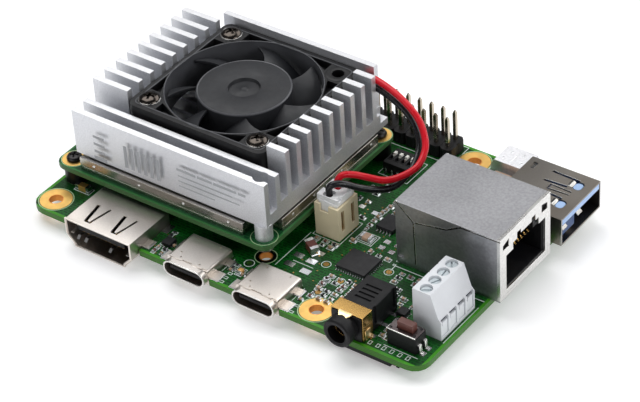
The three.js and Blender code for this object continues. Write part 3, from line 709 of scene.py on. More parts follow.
class Parts:
    """Small surface parts gathered by material, so that each material makes one piece."""

    def __init__(self, name, base=0.0, side=1):
        self.name, self.base, self.side, self.shapes = name, base, side, {}

    def shape(self, material):
        return self.shapes.setdefault(material, Shape())

    def z(self, low, high):
        return tuple(sorted((self.base + self.side * low, self.base + self.side * high)))

    def pad(self, at, u, v, turn=0.0, material=None, tall=0.05):
        patch(self.shape(material or SOLDER), at, turn, (-u / 2, u / 2), (-v / 2, v / 2), self.z(-0.03, tall))

    def chip(self, at, size, turn=0.0, material=None, frame_gap=0.22):
        long, wide, tall = size[0] / 2, size[1] / 2, size[2]
        body = self.shape(material or CERAMIC)
        patch(body, at, turn, (-long * 0.56, long * 0.56), (-wide, wide), self.z(0.02, tall))
        for end in (-1, 1):
            u = sorted((end * long * 0.55, end * long))
            patch(self.shape(SOLDER), at, turn, u, (-wide * 0.98, wide * 0.98), self.z(0, tall * 1.03))
            foot = sorted((end * long * 0.5, end * (long + 0.14)))
            patch(self.shape(SOLDER), at, turn, foot, (-wide * 1.05, wide * 1.05), self.z(-0.03, 0.06))
        if frame_gap:
            self.frame(at, long + frame_gap, wide + frame_gap, turn)

    def frame(self, at, u, v, turn=0.0, width=0.13):
        c, s = math.cos(turn), math.sin(turn)
        rings = [[(at[0] + a * c - b * s, at[1] + a * s + b * c)
                  for a, b in ((-p, -q), (p, -q), (p, q), (-p, q))]
                 for p, q in ((u, v), (u - width, v - width))]
        self.shape(SILK).hollow(*rings, "z", self.z(-0.02, PROUD))

    def leaded(self, x, y, tall, pitch, sides="xy", lead=0.35, material=None, width=0.22):
        """A chip with leads along its x or y sides."""
        self.shape(material or CHIP).box(x, y, self.z(0.04, tall))
        for axis, (u, v) in (("x", (x, y)), ("y", (y, x))):
            if axis not in sides:
                continue
            count = int((v[1] - v[0] - 0.4) / pitch) + 1
            start = (v[0] + v[1]) / 2 - pitch * (count - 1) / 2
            for k in range(count):
                across = (start + k * pitch - width / 2, start + k * pitch + width / 2)
                for edge, out in ((u[0], -lead), (u[1], lead)):
                    along = tuple(sorted((edge - out * 0.3, edge + out)))
                    ranges = (along, across) if axis == "x" else (across, along)
                    self.shape(SOLDER).box(*ranges, self.z(-0.02, 0.09))
                    if tall > 0.8 and lead > 0.3:
                        knee = tuple(sorted((edge - out * 0.2, edge + out * 0.35)))
                        ranges = (knee, across) if axis == "x" else (across, knee)
                        self.shape(SOLDER).box(*ranges, self.z(0.05, tall * 0.55))

    def cluster(self, rng, x, y, step=GRID, fill=0.86):
        """Rows of small parts with their outlines, each a little off its grid."""
        for j in range(int((y[1] - y[0]) / step[1])):
            for i in range(int((x[1] - x[0]) / step[0])):
                if rng.random() > fill:
                    continue
                at = (x[0] + (i + 0.5) * step[0] + rng.uniform(-0.12, 0.12),
                      y[0] + (j + 0.5) * step[1] + rng.uniform(-0.06, 0.06))
                turn = math.pi / 2 if rng.random() < 0.25 else 0.0
                material = rng.choice((CERAMIC, CERAMIC, CHIP, CHIP, MAROON, TAN))
                size = rng.choice(((0.95, 0.5, 0.4), (0.95, 0.5, 0.35), (0.7, 0.38, 0.3), (1.05, 0.55, 0.5)))
                self.chip(at, size, turn, material, 0.15 if turn else 0.2)

    def vias(self, rng, x, y, count):
        for _ in range(count):
            at = (rng.uniform(*x), rng.uniform(*y))
            ends = (self.z(-0.02, 0)[0], self.base + self.side * 0.015)
            self.shape(CLIP_GOLD).lathe(at,
                                        [(0, ends[0]), (0.16, ends[0]), (0.16, ends[1]), (0, ends[1])], n=10)

    def finish(self):
        names = {SOLDER: ("solder", "nickel_shell"), CERAMIC: ("ceramics", "cream_plastic"),
                 CHIP: ("chips", "black_plastic"), MAROON: ("maroon_parts", "button_plastic"),
                 TAN: ("tan_parts", "cream_plastic"), SILK: ("part_outlines", "white_plastic"),
                 CLIP_GOLD: ("gold_pads", "gold_clip"), AMBER: ("indicator", "cream_plastic"),
                 BROWN: ("brown_parts", "button_plastic"), GOLD: ("gold_parts", "gold_clip")}
        for material, shape in self.shapes.items():
            label, slot = names[material]
            bevel = 0.03 if material in (CERAMIC, CHIP, MAROON, TAN, AMBER, BROWN) else 0.0
            piece(f"{self.name}_{label}", shape, material, bevel=bevel, segments=1)


def carrier_parts():
    rng = random.Random(11)
    p = Parts("carrier")
    p.leaded((57.8, 63.8), (14.3, 19.7), 0.85, 0.5, lead=0.42)
    p.leaded((57.5, 61.0), (27.0, 31.0), 0.9, 0.65, "y", lead=0.6)
    p.leaded((67.0, 71.0), (48.7, 51.2), 1.2, 1.27, "y", lead=0.6, material=TAN, width=0.4)
    p.leaded((62.0, 64.3), (34.6, 36.8), 0.8, 0.5, "x", lead=0.45)
    p.leaded((56.4, 58.2), (44.0, 46.8), 0.8, 0.65, "x", lead=0.45)
    p.leaded((66.6, 69.4), (42.5, 45.6), 0.85, 0.5, lead=0.3)
    p.leaded((73.6, 75.4), (9.6, 11.4), 0.7, 0.5, "x", lead=0.4)
    p.leaded((28.0, 29.8), (3.4, 5.4), 0.7, 0.65, "x", lead=0.4)
    p.chip((51.4, 16.2), (3.2, 1.6, 1.5), math.radians(-30), MAROON, 0.0)
    p.chip((57.7, 23.9), (2.2, 1.5, 0.7), 0.0, TAN, 0.35)
    p.frame((57.7, 23.9), 1.85, 1.5)
    p.chip((44.5, 4.7), (1.6, 0.9, 0.6), math.pi / 2, AMBER, 0.3)
    p.chip((6.0, 8.4), (3.0, 1.2, 1.1), 0.0, GOLD, 0.3)
    for at in ((50.3, 13.8), (53.2, 13.6), (50.3, 11.1), (53.9, 10.8)):
        p.pad(at, 1.9, 1.25)
    for at in ((53.4, 16.2), (61.3, 25.0), (61.3, 23.2), (63.5, 23.0), (54.8, 30.6), (51.7, 31.0),
               (63.5, 25.0)):
        p.pad(at, 1.15, 0.95)
    for at in ((60.6, 11.8), (59.0, 7.4), (55.8, 14.3), (66.2, 18.3)):
        p.shape(CLIP_GOLD).lathe(at, [(0, -0.02), (0.55, -0.02), (0.55, 0.04), (0, 0.04)], n=28)
        p.shape(SILK).ring(at, 0.78, 0.9, (-0.02, PROUD), n=32)
    for i in range(4):
        for j in range(3):
            p.pad((49.8 + 1.15 * i, 37.0 + 1.4 * j), 0.7, 0.6, 0.0, CLIP_GOLD if (i + j) % 3 else SOLDER)
    for places in (
        ((57.6, 66.4), (5.2, 13.4)),
        ((67.6, 73.8), (14.6, 19.8), GRID, 0.7),
        ((70.0, 73.6), (11.6, 14.6), GRID, 0.7),
        ((73.9, 77.4), (12.0, 19.6), (1.75, 1.2)),
        ((59.4, 65.2), (20.4, 22.4), (1.9, 1.1)),
        ((62.6, 65.4), (26.2, 34.2), (1.5, 1.2)),
        ((55.0, 57.2), (25.6, 34.0), (1.9, 1.2)),
        ((55.4, 62.0), (31.6, 38.0)),
        ((58.8, 64.6), (39.2, 48.8), (1.85, 1.3)),
        ((65.0, 73.0), (46.2, 48.2), (1.8, 1.1)),
        ((64.8, 66.4), (39.4, 46.0), (1.5, 1.2)),
        ((70.2, 73.2), (39.4, 46.0), (1.6, 1.2)),
        ((27.0, 30.8), (0.9, 3.2), (1.7, 1.1)),
        ((27.0, 30.8), (5.6, 7.8), (1.8, 1.1)),
        ((42.2, 43.6), (4.2, 7.0), (1.2, 1.1)),
        ((57.6, 59.4), (9.0, 12.6), (1.5, 1.2), 0.5),
        ((74.0, 75.8), (1.9, 9.2), (1.7, 1.4), 0.6),
        ((49.0, 55.0), (27.6, 29.8), (1.9, 1.2), 0.8),
        ((49.0, 55.0), (32.0, 36.2), (1.9, 1.3), 0.75),
        ((49.2, 56.8), (17.8, 19.8), (1.9, 1.0), 0.8),
        ((55.4, 58.0), (20.4, 22.6), (1.4, 1.1), 0.8),
    ):
        p.cluster(rng, *places)
    p.vias(rng, (49.0, 66.0), (8.0, 48.0), 90)
    p.vias(rng, (26.5, 31.5), (0.8, 8.0), 12)
    p.vias(rng, (62.0, 76.0), (1.0, 13.0), 16)
    p.finish()


def module_parts():
    p = Parts("module", MODULE_TOP)
    rng = random.Random(5)
    p.cluster(rng, (8.0, 40.0), (46.5, 47.6), (3.0, 0.9), 0.5)
    p.cluster(rng, (0.7, 5.0), (14.0, 42.0), (1.7, 1.5), 0.7)
    p.finish()


# ---- connectors along the front edge ----

def hdmi():
    cutter = Shape()
    for u in (14.9, 21.0):
        bar(cutter, (u - 0.5, -0.8), (u - 1.35, 4.0), 0.66, (1.9, 3.0))
        bar(cutter, (u + 0.5, -0.8), (u + 1.35, 4.0), 0.46, (1.9, 3.0))
        bar(cutter, (u - 0.7, -0.8), (u + 0.7, -0.8), 0.5, (1.9, 3.0))
    remade("hdmi_cover", "hdmi_shell", NICKEL, cutter, 0.07)
    lip = Shape()
    outer = [(-5.75, -3.1), (5.75, -3.1), (5.9, -2.4), (7.48, -0.85), (7.48, 2.66), (-7.48, 2.66),
             (-7.48, -0.85), (-5.9, -2.4)]
    inner = [(u * 0.955, v * 0.93) for u, v in outer]
    centre = middle("hdmi_shell")[0]
    lip.hollow([(centre + u, v) for u, v in outer], [(centre + u, v) for u, v in inner], "y", (-2.3, -1.95))
    piece("hdmi_lip", lip, NICKEL, bevel=0.08)
    contacts = Shape()
    for k in range(10):
        x = centre - 4.5 + k
        contacts.box((x - 0.2, x + 0.2), (-1.25, 4.6), (1.33, 1.42))
        contacts.box((x + 0.3, x + 0.7), (-1.25, 4.6), (0.18, 0.27))
    piece("hdmi_contacts", contacts, CLIP_GOLD)
    springs = Shape()
    for x in (centre - 6.3, centre + 6.3):
        springs.sheet([(-1.8, -0.6), (0.2, -0.2), (2.6, -0.6)], (x - 0.3, x + 0.3), 0.12, "x")
    for x in (12.9, 14.6, 20.2):
        springs.sheet([(-1.7, -1.7), (-1.2, -1.2), (0.2, -1.6)], (x - 0.3, x + 0.3), 0.16, "x")
    for x in (14.9, 21.0):
        springs.sheet([(3.6, 2.1), (1.6, 1.75), (0.4, 1.95)], (x - 0.55, x + 0.55), 0.14, "x")
    piece("hdmi_springs", springs, PALE_STEEL)
    feet = Parts("hdmi")
    for side in (-1, 1):
        for y in (2.2, 7.4):
            feet.pad((centre + side * 8.2, y), 1.4, 2.4, tall=0.12)
    feet.finish()


def usb_c():
    for number, x in ((1, 36.5), (2, 51.5)):
        cutter = Shape()
        steps = [(-4.6, 0.0), (-3.4, 0.0), (-3.4, -0.22), (-1.2, -0.22), (-1.2, 0.06), (1.0, 0.06),
                 (1.0, -0.2),
                 (3.2, -0.2), (3.2, 0.02), (4.6, 0.02)]
        seam = [(x + u, v) for u, v in steps] + [(x + u, v + 0.22) for u, v in reversed(steps)]
        cutter.prism(seam, "z", (1.66, 2.4))
        for u, v in ((-1.9, 0.75), (2.2, 0.75), (-2.7, 1.9), (-2.5, 6.4), (2.5, 6.4)):
            cutter.prism(circle(x + u, v, 0.17, 12), "z", (1.6, 2.4))
        cutter.box((x - 5, x - 4.3), (0.02, 0.14), (-1.6, 2.4))
        cutter.box((x + 4.3, x + 5), (0.02, 0.14), (-1.6, 2.4))
        remade(f"usb_c_cover_{number}", f"usb_c_shell_{number}", NICKEL, cutter, 0.09,
               segments=3)
        rim = Shape()
        rim.hollow(rounded((x - 4.48, x + 4.48), (-1.44, 1.84), 1.62),
                   rounded((x - 4.25, x + 4.25), (-1.2, 1.6), 1.4),
                   "y", (-1.3, -1.12))
        piece(f"usb_c_rim_{number}", rim, PALE_STEEL, bevel=0.05)
        contacts = Shape()
        for k in range(12):
            at = x - 2.75 + 0.5 * k
            contacts.box((at - 0.12, at + 0.12), (0.05, 4.4), (0.54, 0.6))
            contacts.box((at - 0.12, at + 0.12), (0.05, 4.4), (-0.2, -0.14))
        piece(f"usb_c_contacts_{number}", contacts, CLIP_GOLD)
        feet = Parts(f"usb_c_feet_{number}")
        for side in (-1, 1):
            feet.pad((x + side * 5.5, 1.5), 1.7, 2.6, tall=0.2)
            feet.pad((x + side * 5.2, 5.5), 1.3, 1.9, tall=0.2)
            feet.chip((x + side * 6.2, 4.2), (0.9, 0.5, 0.4), 0.0, CERAMIC, 0.0)
        feet.finish()


def audio_jack():
    (x0, x1), _, (_, z1) = span("audio_jack_body")
    cutter = Shape()
    for y in (5.2, 6.3, 7.4, 8.5):
        cutter.box((68.4, 71.6), (y, y + 0.45), (z1 - 0.28, z1 + 1))
    for y in (4.2, 9.7):
        cutter.box((x0 - 1, x0 + 0.25), (y, y + 0.7), (1.4, z1 + 1))
        cutter.box((x1 - 0.25, x1 + 1), (y, y + 0.7), (1.4, z1 + 1))
    remade("jack_body", "audio_jack_body", BLACK, cutter, 0.12)
    axis = (69.9, 2.6)
    sleeve = Shape()
    sleeve.ring(axis, 1.62, 1.79, (-0.3, 8.5), "y", 36)
    piece("jack_sleeve", sleeve, CLIP_GOLD, bevel=0.03)
    barrel = Shape()
    barrel.lathe(axis, [(1.95, -0.6), (1.95, -2.2), (2.1, -2.38), (2.5, -2.38), (2.72, -2.15), (2.72, -1.0),
                        (2.62, -0.05), (2.3, -0.02), (2.3, -0.6), (1.95, -0.6)], "y", 48)
    piece("jack_barrel", barrel, BLACK, bevel=0.04)
    tongue = Shape()
    wide, narrow = 1.35, 0.6
    outer = [(axis[0] - wide, 0.35, z1 + 0.2), (axis[0] + wide, 0.35, z1 + 0.2),
             (axis[0] + narrow, -0.75, z1 - 0.1),
             (axis[0] - narrow, -0.75, z1 - 0.1)]
    low = [tongue.bm.verts.new(p) for p in outer]
    high = [tongue.bm.verts.new((p[0], p[1] + 0.05, p[2] + 0.18)) for p in outer]
    tongue.bm.faces.new(low)
    tongue.bm.faces.new(high)
    for k in range(4):
        tongue.bm.faces.new((low[k], low[(k + 1) % 4], high[(k + 1) % 4], high[k]))
    tongue.box((axis[0] - wide, axis[0] + wide), (0.3, 0.8), (z1 + 0.22, z1 + 0.38))
    tongue.box((x0 - 0.32, x0 - 0.1), (0.8, 1.6), (0.1, z1 - 0.6))
    tongue.box((x1 + 0.1, x1 + 0.36), (1.2, 2.6), (0.1, 2.2))
    piece("jack_clip_tongue", tongue, TONGUE_GOLD, bevel=0.05)
    feet = Parts("jack")
    for y in (3.0, 6.4, 9.4):
        feet.pad((x1 + 0.45, y), 1.1, 0.8, tall=0.1)
        feet.pad((x0 - 0.4, y), 1.0, 0.8, tall=0.1)
    feet.finish()


def reset_switch():
    (x0, x1), (y0, y1), (_, top) = span("reset_switch_cover")
    # painted highlight: pale strips along the cover's front edge and the front of its left edge
    edge_highlight = Shape()
    edge_highlight.box((x0, x1), (y0 - 0.12, y0 + 0.06), (top - 0.16, top + 0.04))
    edge_highlight.box((x0 - 0.08, x0 + 0.04), (y0, y0 + 1.0), (top - 0.16, top + 0.03))
    piece("switch_edge_highlight", edge_highlight, PALE_STEEL, bevel=0.04)
    rivets = Shape()
    for x in (x0 + 0.5, x1 - 0.5):
        for y in (y0 + 0.5, y1 - 0.5):
            rivets.lathe((x, y), [(0, top - 0.05), (0.26, top - 0.05), (0.24, top + 0.06), (0.1, top + 0.1),
                                  (0, top + 0.1)], n=16)
    piece("switch_rivets", rivets, BLACK)
    leads = Shape()
    for y in (y0 + 0.75, y1 - 0.75):
        for x, out in ((x0, -1), (x1, 1)):
            shank = [(x, 1.7), (x + out * 0.35, 1.7), (x + out * 0.45, 0.25), (x + out * 0.95, 0.16)]
            leads.sheet(shank, (y - 0.35, y + 0.35), 0.16, "y")
    piece("switch_leads", leads, PALE_STEEL, bevel=0.03)
    feet = Parts("switch")
    for y in (y0 + 0.75, y1 - 0.75):
        for x in (x0 - 0.8, x1 + 0.85):
            feet.pad((x, y), 1.0, 1.0, tall=0.1)
    feet.finish()


# ---- connectors on the right and back edges ----

def lan():
    (x0, x1), (y0, y1), (z0, z1) = span("ethernet_shell")
    cutter, seams, fold_highlights = Shape(), Shape(), Shape()
    # The dark strips are the shell's seam joints; the pale strips beside them are painted highlights along
    # the seams' edges.
    for path in (((66.0, 13.3), (69.5, 10.1), (69.7, 1.0)),
                 ((69.9, 10.2), (76.2, 11.3), (79.1, 13.0), (87.0, 13.1))):
        for (ax, az), (bx, bz) in zip(path, path[1:]):
            for shape, offset, half in ((seams, 0.0, 0.10), (fold_highlights, 0.17, 0.06)):
                length = math.dist((ax, az), (bx, bz))
                nx, nz = -(bz - az) / length, (bx - ax) / length
                strip = [(ax + nx * w, az + nz * w) for w in (offset + half, offset - half)]
                strip += [(bx + nx * w, bz + nz * w) for w in (offset - half, offset + half)]
                shape.prism(strip, "y", (y0 - 0.03, y0 + 0.1))
                shape.prism(strip, "y", (y1 - 0.1, y1 + 0.03))
    piece("lan_seams", seams, SCREW_DARK)
    # painted highlight: pale strips beside the seams
    piece("lan_fold_highlights", fold_highlights, PALE_STEEL)
    cutter.box((66.1, 67.3), (y0 - 1, y0 + 0.3), (1.5, 2.4))
    cutter.box((x0 - 1, x0 + 0.12), (y0 + 3, y0 + 3.15), (1, 12))
    cutter.box((x0 - 1, x0 + 0.12), (y1 - 3.15, y1 - 3), (1, 12))
    remade("lan_cover", "ethernet_shell", LAN_STEEL, cutter, 0.1, segments=3)
    outer = [(y0 + 0.02, z0 + 0.1), (y1 - 0.02, z0 + 0.1), (y1 - 0.02, z1 - 0.02), (y0 + 0.02, z1 - 0.02)]
    front = Shape()
    front.prism(outer, "x", (x1 - 0.42, x1 + 0.03))
    port = Shape()
    port.prism([(23.4, 1.7), (35.7, 1.7), (35.7, 9.0), (33.6, 9.0), (33.6, 10.4), (32.6, 10.4), (32.6, 11.7),
                (31.4, 11.7), (31.4, 10.9), (28.0, 10.9), (28.0, 11.7), (26.8, 11.7), (26.8,
                                                                                       10.4), (25.6, 10.4),
                (25.6, 9.0), (23.4, 9.0)], "x", (x1 - 1, x1 + 1))
    port.prism([(22.4, 10.6), (24.3, 10.6), (24.3, 12.2), (22.4, 11.6)], "x", (x1 - 1, x1 + 1))
    port.prism([(34.6, 10.6), (36.4, 10.6), (36.4, 11.8), (34.6, 12.3)], "x", (x1 - 1, x1 + 1))
    piece("lan_front", front, PALE_STEEL, bevel=0.06, cutter=port)
    lips = Shape()
    lips.box((x1 - 0.3, x1 + 0.05), (23.2, 35.9), (0.75, 0.95))
    for y in (y0 - 0.02, y1 - 0.16):
        lips.box((x1 - 0.6, x1 + 0.05), (y, y + 0.18), (0.3, z1 - 0.1))
    lips.box((x1 - 0.6, x1 + 0.05), (y0, y1), (z1 - 0.14, z1 + 0.03))
    for y in (25.6, 33.7):
        lips.sheet([(x1 - 4, 10.9), (x1 - 1.2, 10.1), (x1 - 0.2, 10.6)], (y - 0.35, y + 0.35), 0.15, "y")
    piece("lan_lips", lips, PALE_STEEL, bevel=0.04)
    liner = Shape()
    liner.prism([(23.3, 1.6), (35.8, 1.6), (35.8, 9.0), (35.45, 9.0), (35.45, 1.95), (23.65, 1.95),
                 (23.65, 4.5),
                 (23.3, 4.5)], "x", (x1 - 5.0, x1 - 0.3))
    piece("lan_liner", liner, CHIP, bevel=0.05)
    fingers = Shape()
    for k in range(8):
        y = 24.75 + 1.02 * k
        fingers.sheet([(78.0, 4.6), (81.0, 5.6), (84.0, 6.9), (85.6, 7.6), (86.0, 8.1), (85.6, 8.5),
                       (82.0, 8.6)],
                      (y - 0.17, y + 0.17), 0.22, "y")
    piece("lan_fingers", fingers, CLIP_GOLD, bevel=0.03)
    tails = Parts("lan", UNDER, -1)
    for k in range(8):
        at = (71.0 + 2.54 * (k % 2), 25.8 + 1.02 * k)
        soldered(tails.shape(SOLDER), at, [(0.62, -0.02), (0.36, 0.35), (0.22, 0.9)], 0.95)
    for at in ((74.5, 22.6), (74.5, 36.1), (80.0, 23.2), (80.0, 35.6)):
        soldered(tails.shape(SOLDER), at, [(1.0, -0.02), (0.7, 0.3), (0.5, 1.0)], 1.05, 20)
    tails.finish()


def usb_a():
    (_, x1), (y0, y1), (z0, z1) = span("usb_a_shell")
    z = (z1 - 0.6, z1 + 1)
    cutter, edges = Shape(), Shape()
    for a, b, c in (((78.9, 51.2), (84.6, 51.0), 0.42), ((78.9, 48.3), (83.4, 48.6), 0.42),
                    ((78.9, 45.5), (84.4, 45.2), 0.42), ((78.9, 42.5), (83.4, 42.8), 0.42),
                    ((80.7, 47.8), (84.9, 47.6), 0.24), ((80.7, 46.5), (84.9, 46.7), 0.24)):
        bar(cutter, a, b, c, z)
        # painted highlight: a pale strip along one edge of each slot
        rise = c / 2 + 0.06
        bar(edges, (a[0], a[1] + rise), (b[0], b[1] + rise), 0.13, (z1 - 0.1, z1 + 0.03))
    piece("usb_a_slot_highlights", edges, PALE_STEEL)
    cutter.box((80.5, 80.8), (46.5, 47.8), z)
    for y in (49.8, 43.8):
        cutter.prism(rounded((83.6, 85.9), (y - 1.15, y + 1.15), 0.75), "z", z)
    cutter.box((74.7, 75.6), (50.0, 51.9), z)
    for y in (y0, y1):
        cutter.box((78.6, 84.0), (y - 0.5, y + 0.5), (1.4, 1.6))
        cutter.box((78.6, 84.0), (y - 0.5, y + 0.5), (3.9, 4.1))
    remade("usb_a_cover", "usb_a_shell", DARK_STEEL, cutter, 0.14, segments=3)
    fingers = Shape()
    for y in (49.8, 43.8):
        fingers.sheet([(82.6, z1 - 0.3), (83.6, z1 - 0.42), (84.5, z1 - 1.0)], (y - 0.85, y + 0.85),
                      0.22, "y")
        fingers.sheet([(83.2, z1 - 0.1), (83.7, z1 - 0.06), (84.1, z1 - 0.3)], (y - 0.9, y + 0.9), 0.16, "y")
    fingers.box((74.75, 75.5), (50.1, 51.8), (z1 - 0.4, z1 - 0.2))
    for y in (40.45, 45.4):
        fingers.sheet([(x1 - 3.4, 1.4), (x1 - 1.4, 3.4), (x1 - 0.7, 3.6), (x1 - 0.1, 3.0)],
                      (y, y + 1.5), 0.3, "y")
    for y in (y0 - 0.02, y1 - 0.28):
        fingers.box((x1 - 0.35, x1 + 0.04), (y, y + 0.3), (z0 + 0.1, z1 - 0.1))
    piece("usb_a_springs", fingers, SPRING_STEEL, bevel=0.05)
    # painted highlight: the blue insert's faces under the top windows and at the front use the pale copy of
    # its blue
    ovals = Shape()
    for y in (49.8, 43.8):
        ovals.prism(rounded((84.2, 85.75), (y - 0.95, y + 0.95), 0.65), "z", (5.0, z1 - 0.12))
    ovals.box((86.0, x1 - 0.02), (y0 + 0.4, y1 - 0.4), (4.2, z1 - 0.34))
    piece("usb_a_blue_lip", ovals, LIT_BLUE, bevel=0.1)
    block = Shape()
    block.box((77.2, x1 - 0.35), (40.9, 44.9), (1.6, 4.0))
    block.box((77.2, x1 - 1.2), (44.9, 52.2), (2.9, 4.1))
    piece("usb_a_wide_tongue", block, DEEP_BLUE, bevel=0.12)
    contacts = Shape()
    for k in range(4):
        y = middle("usb_a_shell")[1] - 3.5 + 2.33 * k
        contacts.box((79.0, 86.0), (y - 0.5, y + 0.5), (2.5, 2.66))
    piece("usb_a_contacts", contacts, CLIP_GOLD)
    tails = Parts("usb_a", UNDER, -1)
    for k in range(4):
        soldered(tails.shape(SOLDER), (76.0, 43.0 + 2.4 * k), [(0.6, -0.02), (0.3, 0.4)], 0.9)
    for y in (40.3, 52.8):
        soldered(tails.shape(SOLDER), (80.0, y), [(1.2, -0.02), (0.8, 0.35), (0.4, 1.0)], 1.05, 20)
    tails.finish()


def micro_usb():
    (x0, x1), (y0, _), (_, z1) = span("micro_usb_shell")
    mid = (x0 + x1) / 2
    cutter = Shape()
    for dx, y in ((-1.9, 53.4), (1.9, 53.4), (-1.2, 55.6), (1.2, 55.6)):
        cutter.box((mid + dx - 0.2, mid + dx + 0.2), (y - 0.35, y + 0.35), (z1 - 0.2, z1 + 1))
    cutter.box((mid - 0.05, mid + 0.05), (y0 + 0.2, y0 + 3.4), (z1 - 0.12, z1 + 1))
    remade("micro_usb_cover", "micro_usb_shell", BRIGHT_TIN, cutter, 0.09)
    feet = Parts("micro_usb")
    for side in (-1, 1):
        feet.pad((mid + side * 3.5, 53.3), 1.5, 1.3, tall=0.3)
        feet.pad((mid + side * 3.6, 55.2), 1.3, 1.1, tall=0.25)
    for k in range(5):
        feet.pad((mid - 1.3 + 0.65 * k, y0 - 0.45), 0.3, 1.1, tall=0.12)
    feet.finish()


# ---- pin header, slide switches, terminal block ----

PIN_ROWS = (51.23, 53.77)
PITCH = 2.54
PIN_HALF = 0.32
TERMINAL_X = 80.3
WAYS = range(1, 5)


def pin_header():
    (x0, x1), (y0, y1), (_, top) = span("gpio_header")
    housing, pins = Shape(), Shape()
    columns = [x1 - PITCH / 2 - PITCH * k for k in range(20)]
    for x in columns:
        u, v, r = (x - PITCH / 2 + 0.01, x + PITCH / 2 - 0.01), (y0, y1), 0.55
        mid = (v[0] + v[1]) / 2
        notch = [(u[0] + r, v[0]), (u[1] - r, v[0]), (u[1], v[0] + r), (u[1], mid - r), (u[1] - 0.25, mid),
                 (u[1], mid + r), (u[1], v[1] - r), (u[1] - r, v[1]), (u[0] + r, v[1]), (u[0], v[1] - r),
                 (u[0], mid + r), (u[0] + 0.25, mid), (u[0], mid - r), (u[0], v[0] + r)]
        housing.prism(notch, "z", (0.02, 2.54))
        for y in PIN_ROWS:
            pin(pins, x, y, top)
    housing.box((x0 + 0.1, x1 - 0.1), (y0 + 0.75, y1 - 0.75), (0.3, 2.3))
    piece("header_housing", housing, BLACK, bevel=0.1, replaces=("gpio_header",))
    piece("header_pins", pins, PIN_GOLD)
    joints = Shape()
    for x in columns:
        for y in PIN_ROWS:
            soldered(joints, (x, y), [(0.82, -0.02), (0.5, 0.3), (0.3, 0.65)], 0.7, 14)
    piece("header_solder", joints, SOLDER)


def pin(shape, x, y, top):
    """A square pin with tapered ends, from its tail under the board to its tip."""
    levels = [(UNDER - 1.25, 0.12), (UNDER - 0.95, PIN_HALF), (top - 0.55, PIN_HALF), (top, 0.13)]
    rings = [[shape.bm.verts.new((x + a * h, y + b * h, z)) for a, b in ((-1, -1), (1, -1), (1, 1), (-1, 1))]
             for z, h in levels]
    shape.bm.faces.new(rings[0])
    shape.bm.faces.new(rings[-1])
    for low, high in zip(rings, rings[1:]):
        for k in range(4):
            shape.bm.faces.new((low[k], low[(k + 1) % 4], high[(k + 1) % 4], high[k]))


def slide_switches():
    _, (y0, y1), (_, top) = span("dip_switch_body")
    frames, leads = Shape(), Shape()
    for way in WAYS:
        x = middle(f"dip_slider_{way}")[0]
        box_frame(frames, (x - 0.52, x + 0.52), (42.75, 45.45), (top - 0.02, top + 0.08), 0.14)
        for y, out in ((y0, -1), (y1, 1)):
            leads.box((x - 0.2, x + 0.2), tuple(sorted((y - out * 0.02, y + out * 0.15))), (0.02, 1.0))
            leads.box((x - 0.2, x + 0.2), tuple(sorted((y, y + out * 0.75))), (-0.02, 0.14))
    piece("dip_frames", frames, BLACK)
    piece("dip_leads", leads, SOLDER)


def terminal_block():
    (x0, x1), _, _ = span("terminal_housing")
    steps = [middle(f"terminal_screw_{way}")[1] for way in WAYS]
    cutter = Shape()
    for y in steps[:-1]:
        seam = y + PITCH / 2
        cutter.box((x0 - 1, x0 + 0.15), (seam - 0.1, seam + 0.1), (0.6, 9.5))
    remade("terminal_body", "terminal_housing", TERMINAL, cutter, 0.08)
    leaves, tails = Shape(), Shape()
    for y in steps:
        leaf = [(y - 0.96, 0.62), (y + 0.96, 0.62), (y + 0.96, 3.35), (y - 0.5, 3.35), (y - 0.5, 2.6),
                (y - 0.96, 2.6)]
        leaves.prism(leaf, "x", (x1 - 0.7, x1 - 0.22))
        soldered(tails, (TERMINAL_X, y), [(0.95, -0.02), (0.6, 0.35), (0.4, 0.95)], 1.0, 18)
    for way, y in enumerate(steps, 1):
        head, slot = Shape(), Shape()
        head.lathe((TERMINAL_X, y), [(0, 2.4), (0.6, 2.4), (0.6, 7.25), (1.04, 7.3), (1.04, 8.45),
                                     (0.95, 8.58), (0, 8.6)],
                   n=40)
        patch(slot, (TERMINAL_X, y), 0.55 * way, (-1.2, 1.2), (-0.15, 0.15), (8.25, 9))
        piece(f"terminal_screw_head_{way}", head, ZINC, body=f"terminal_screw_{way}",
              cutter=slot,
              replaces=(f"terminal_screw_{way}",))
    piece("terminal_leaves", leaves, TERMINAL, bevel=0.08)
    piece("terminal_solder", tails, SOLDER)


# ---- fan plug, wires and fan ----

RED_PATH = [(43.5, 44, 17.5), (46.6, 44, 17.8), (52.2, 43, 16.8), (57, 41.6, 14.8), (59.8, 39.6, 12.6),
            (60.9, 37.5, 11), (61, 34.8, 9.8), (59.4, 31.9, 9), (57.5, 30, 8.8), (55.1, 28.8, 9.2),
            (53.1, 27.3, 10), (51.7, 25.8, 10.3), (51.2, 24.9, 9.5), (51.2, 24.85, 8.6)]
BLACK_PATH = [(43.5, 44, 15.9), (46.4, 43.9, 16.2), (50.9, 43.2, 15.4), (54.5, 42.5, 13.8),
              (57.4, 40.9, 11.8), (58.8, 39, 10.2), (59.5, 36.3, 8.8), (59.5, 34.1, 8), (58.8, 31.1, 7.2),
              (57.1, 28.7, 7.4), (54.9, 26.3, 8.5), (53.1, 24.3, 9.9), (51.8, 22.9, 10.2), (51.2, 22.4, 9.5),
              (51.2, 22.35, 8.6)]


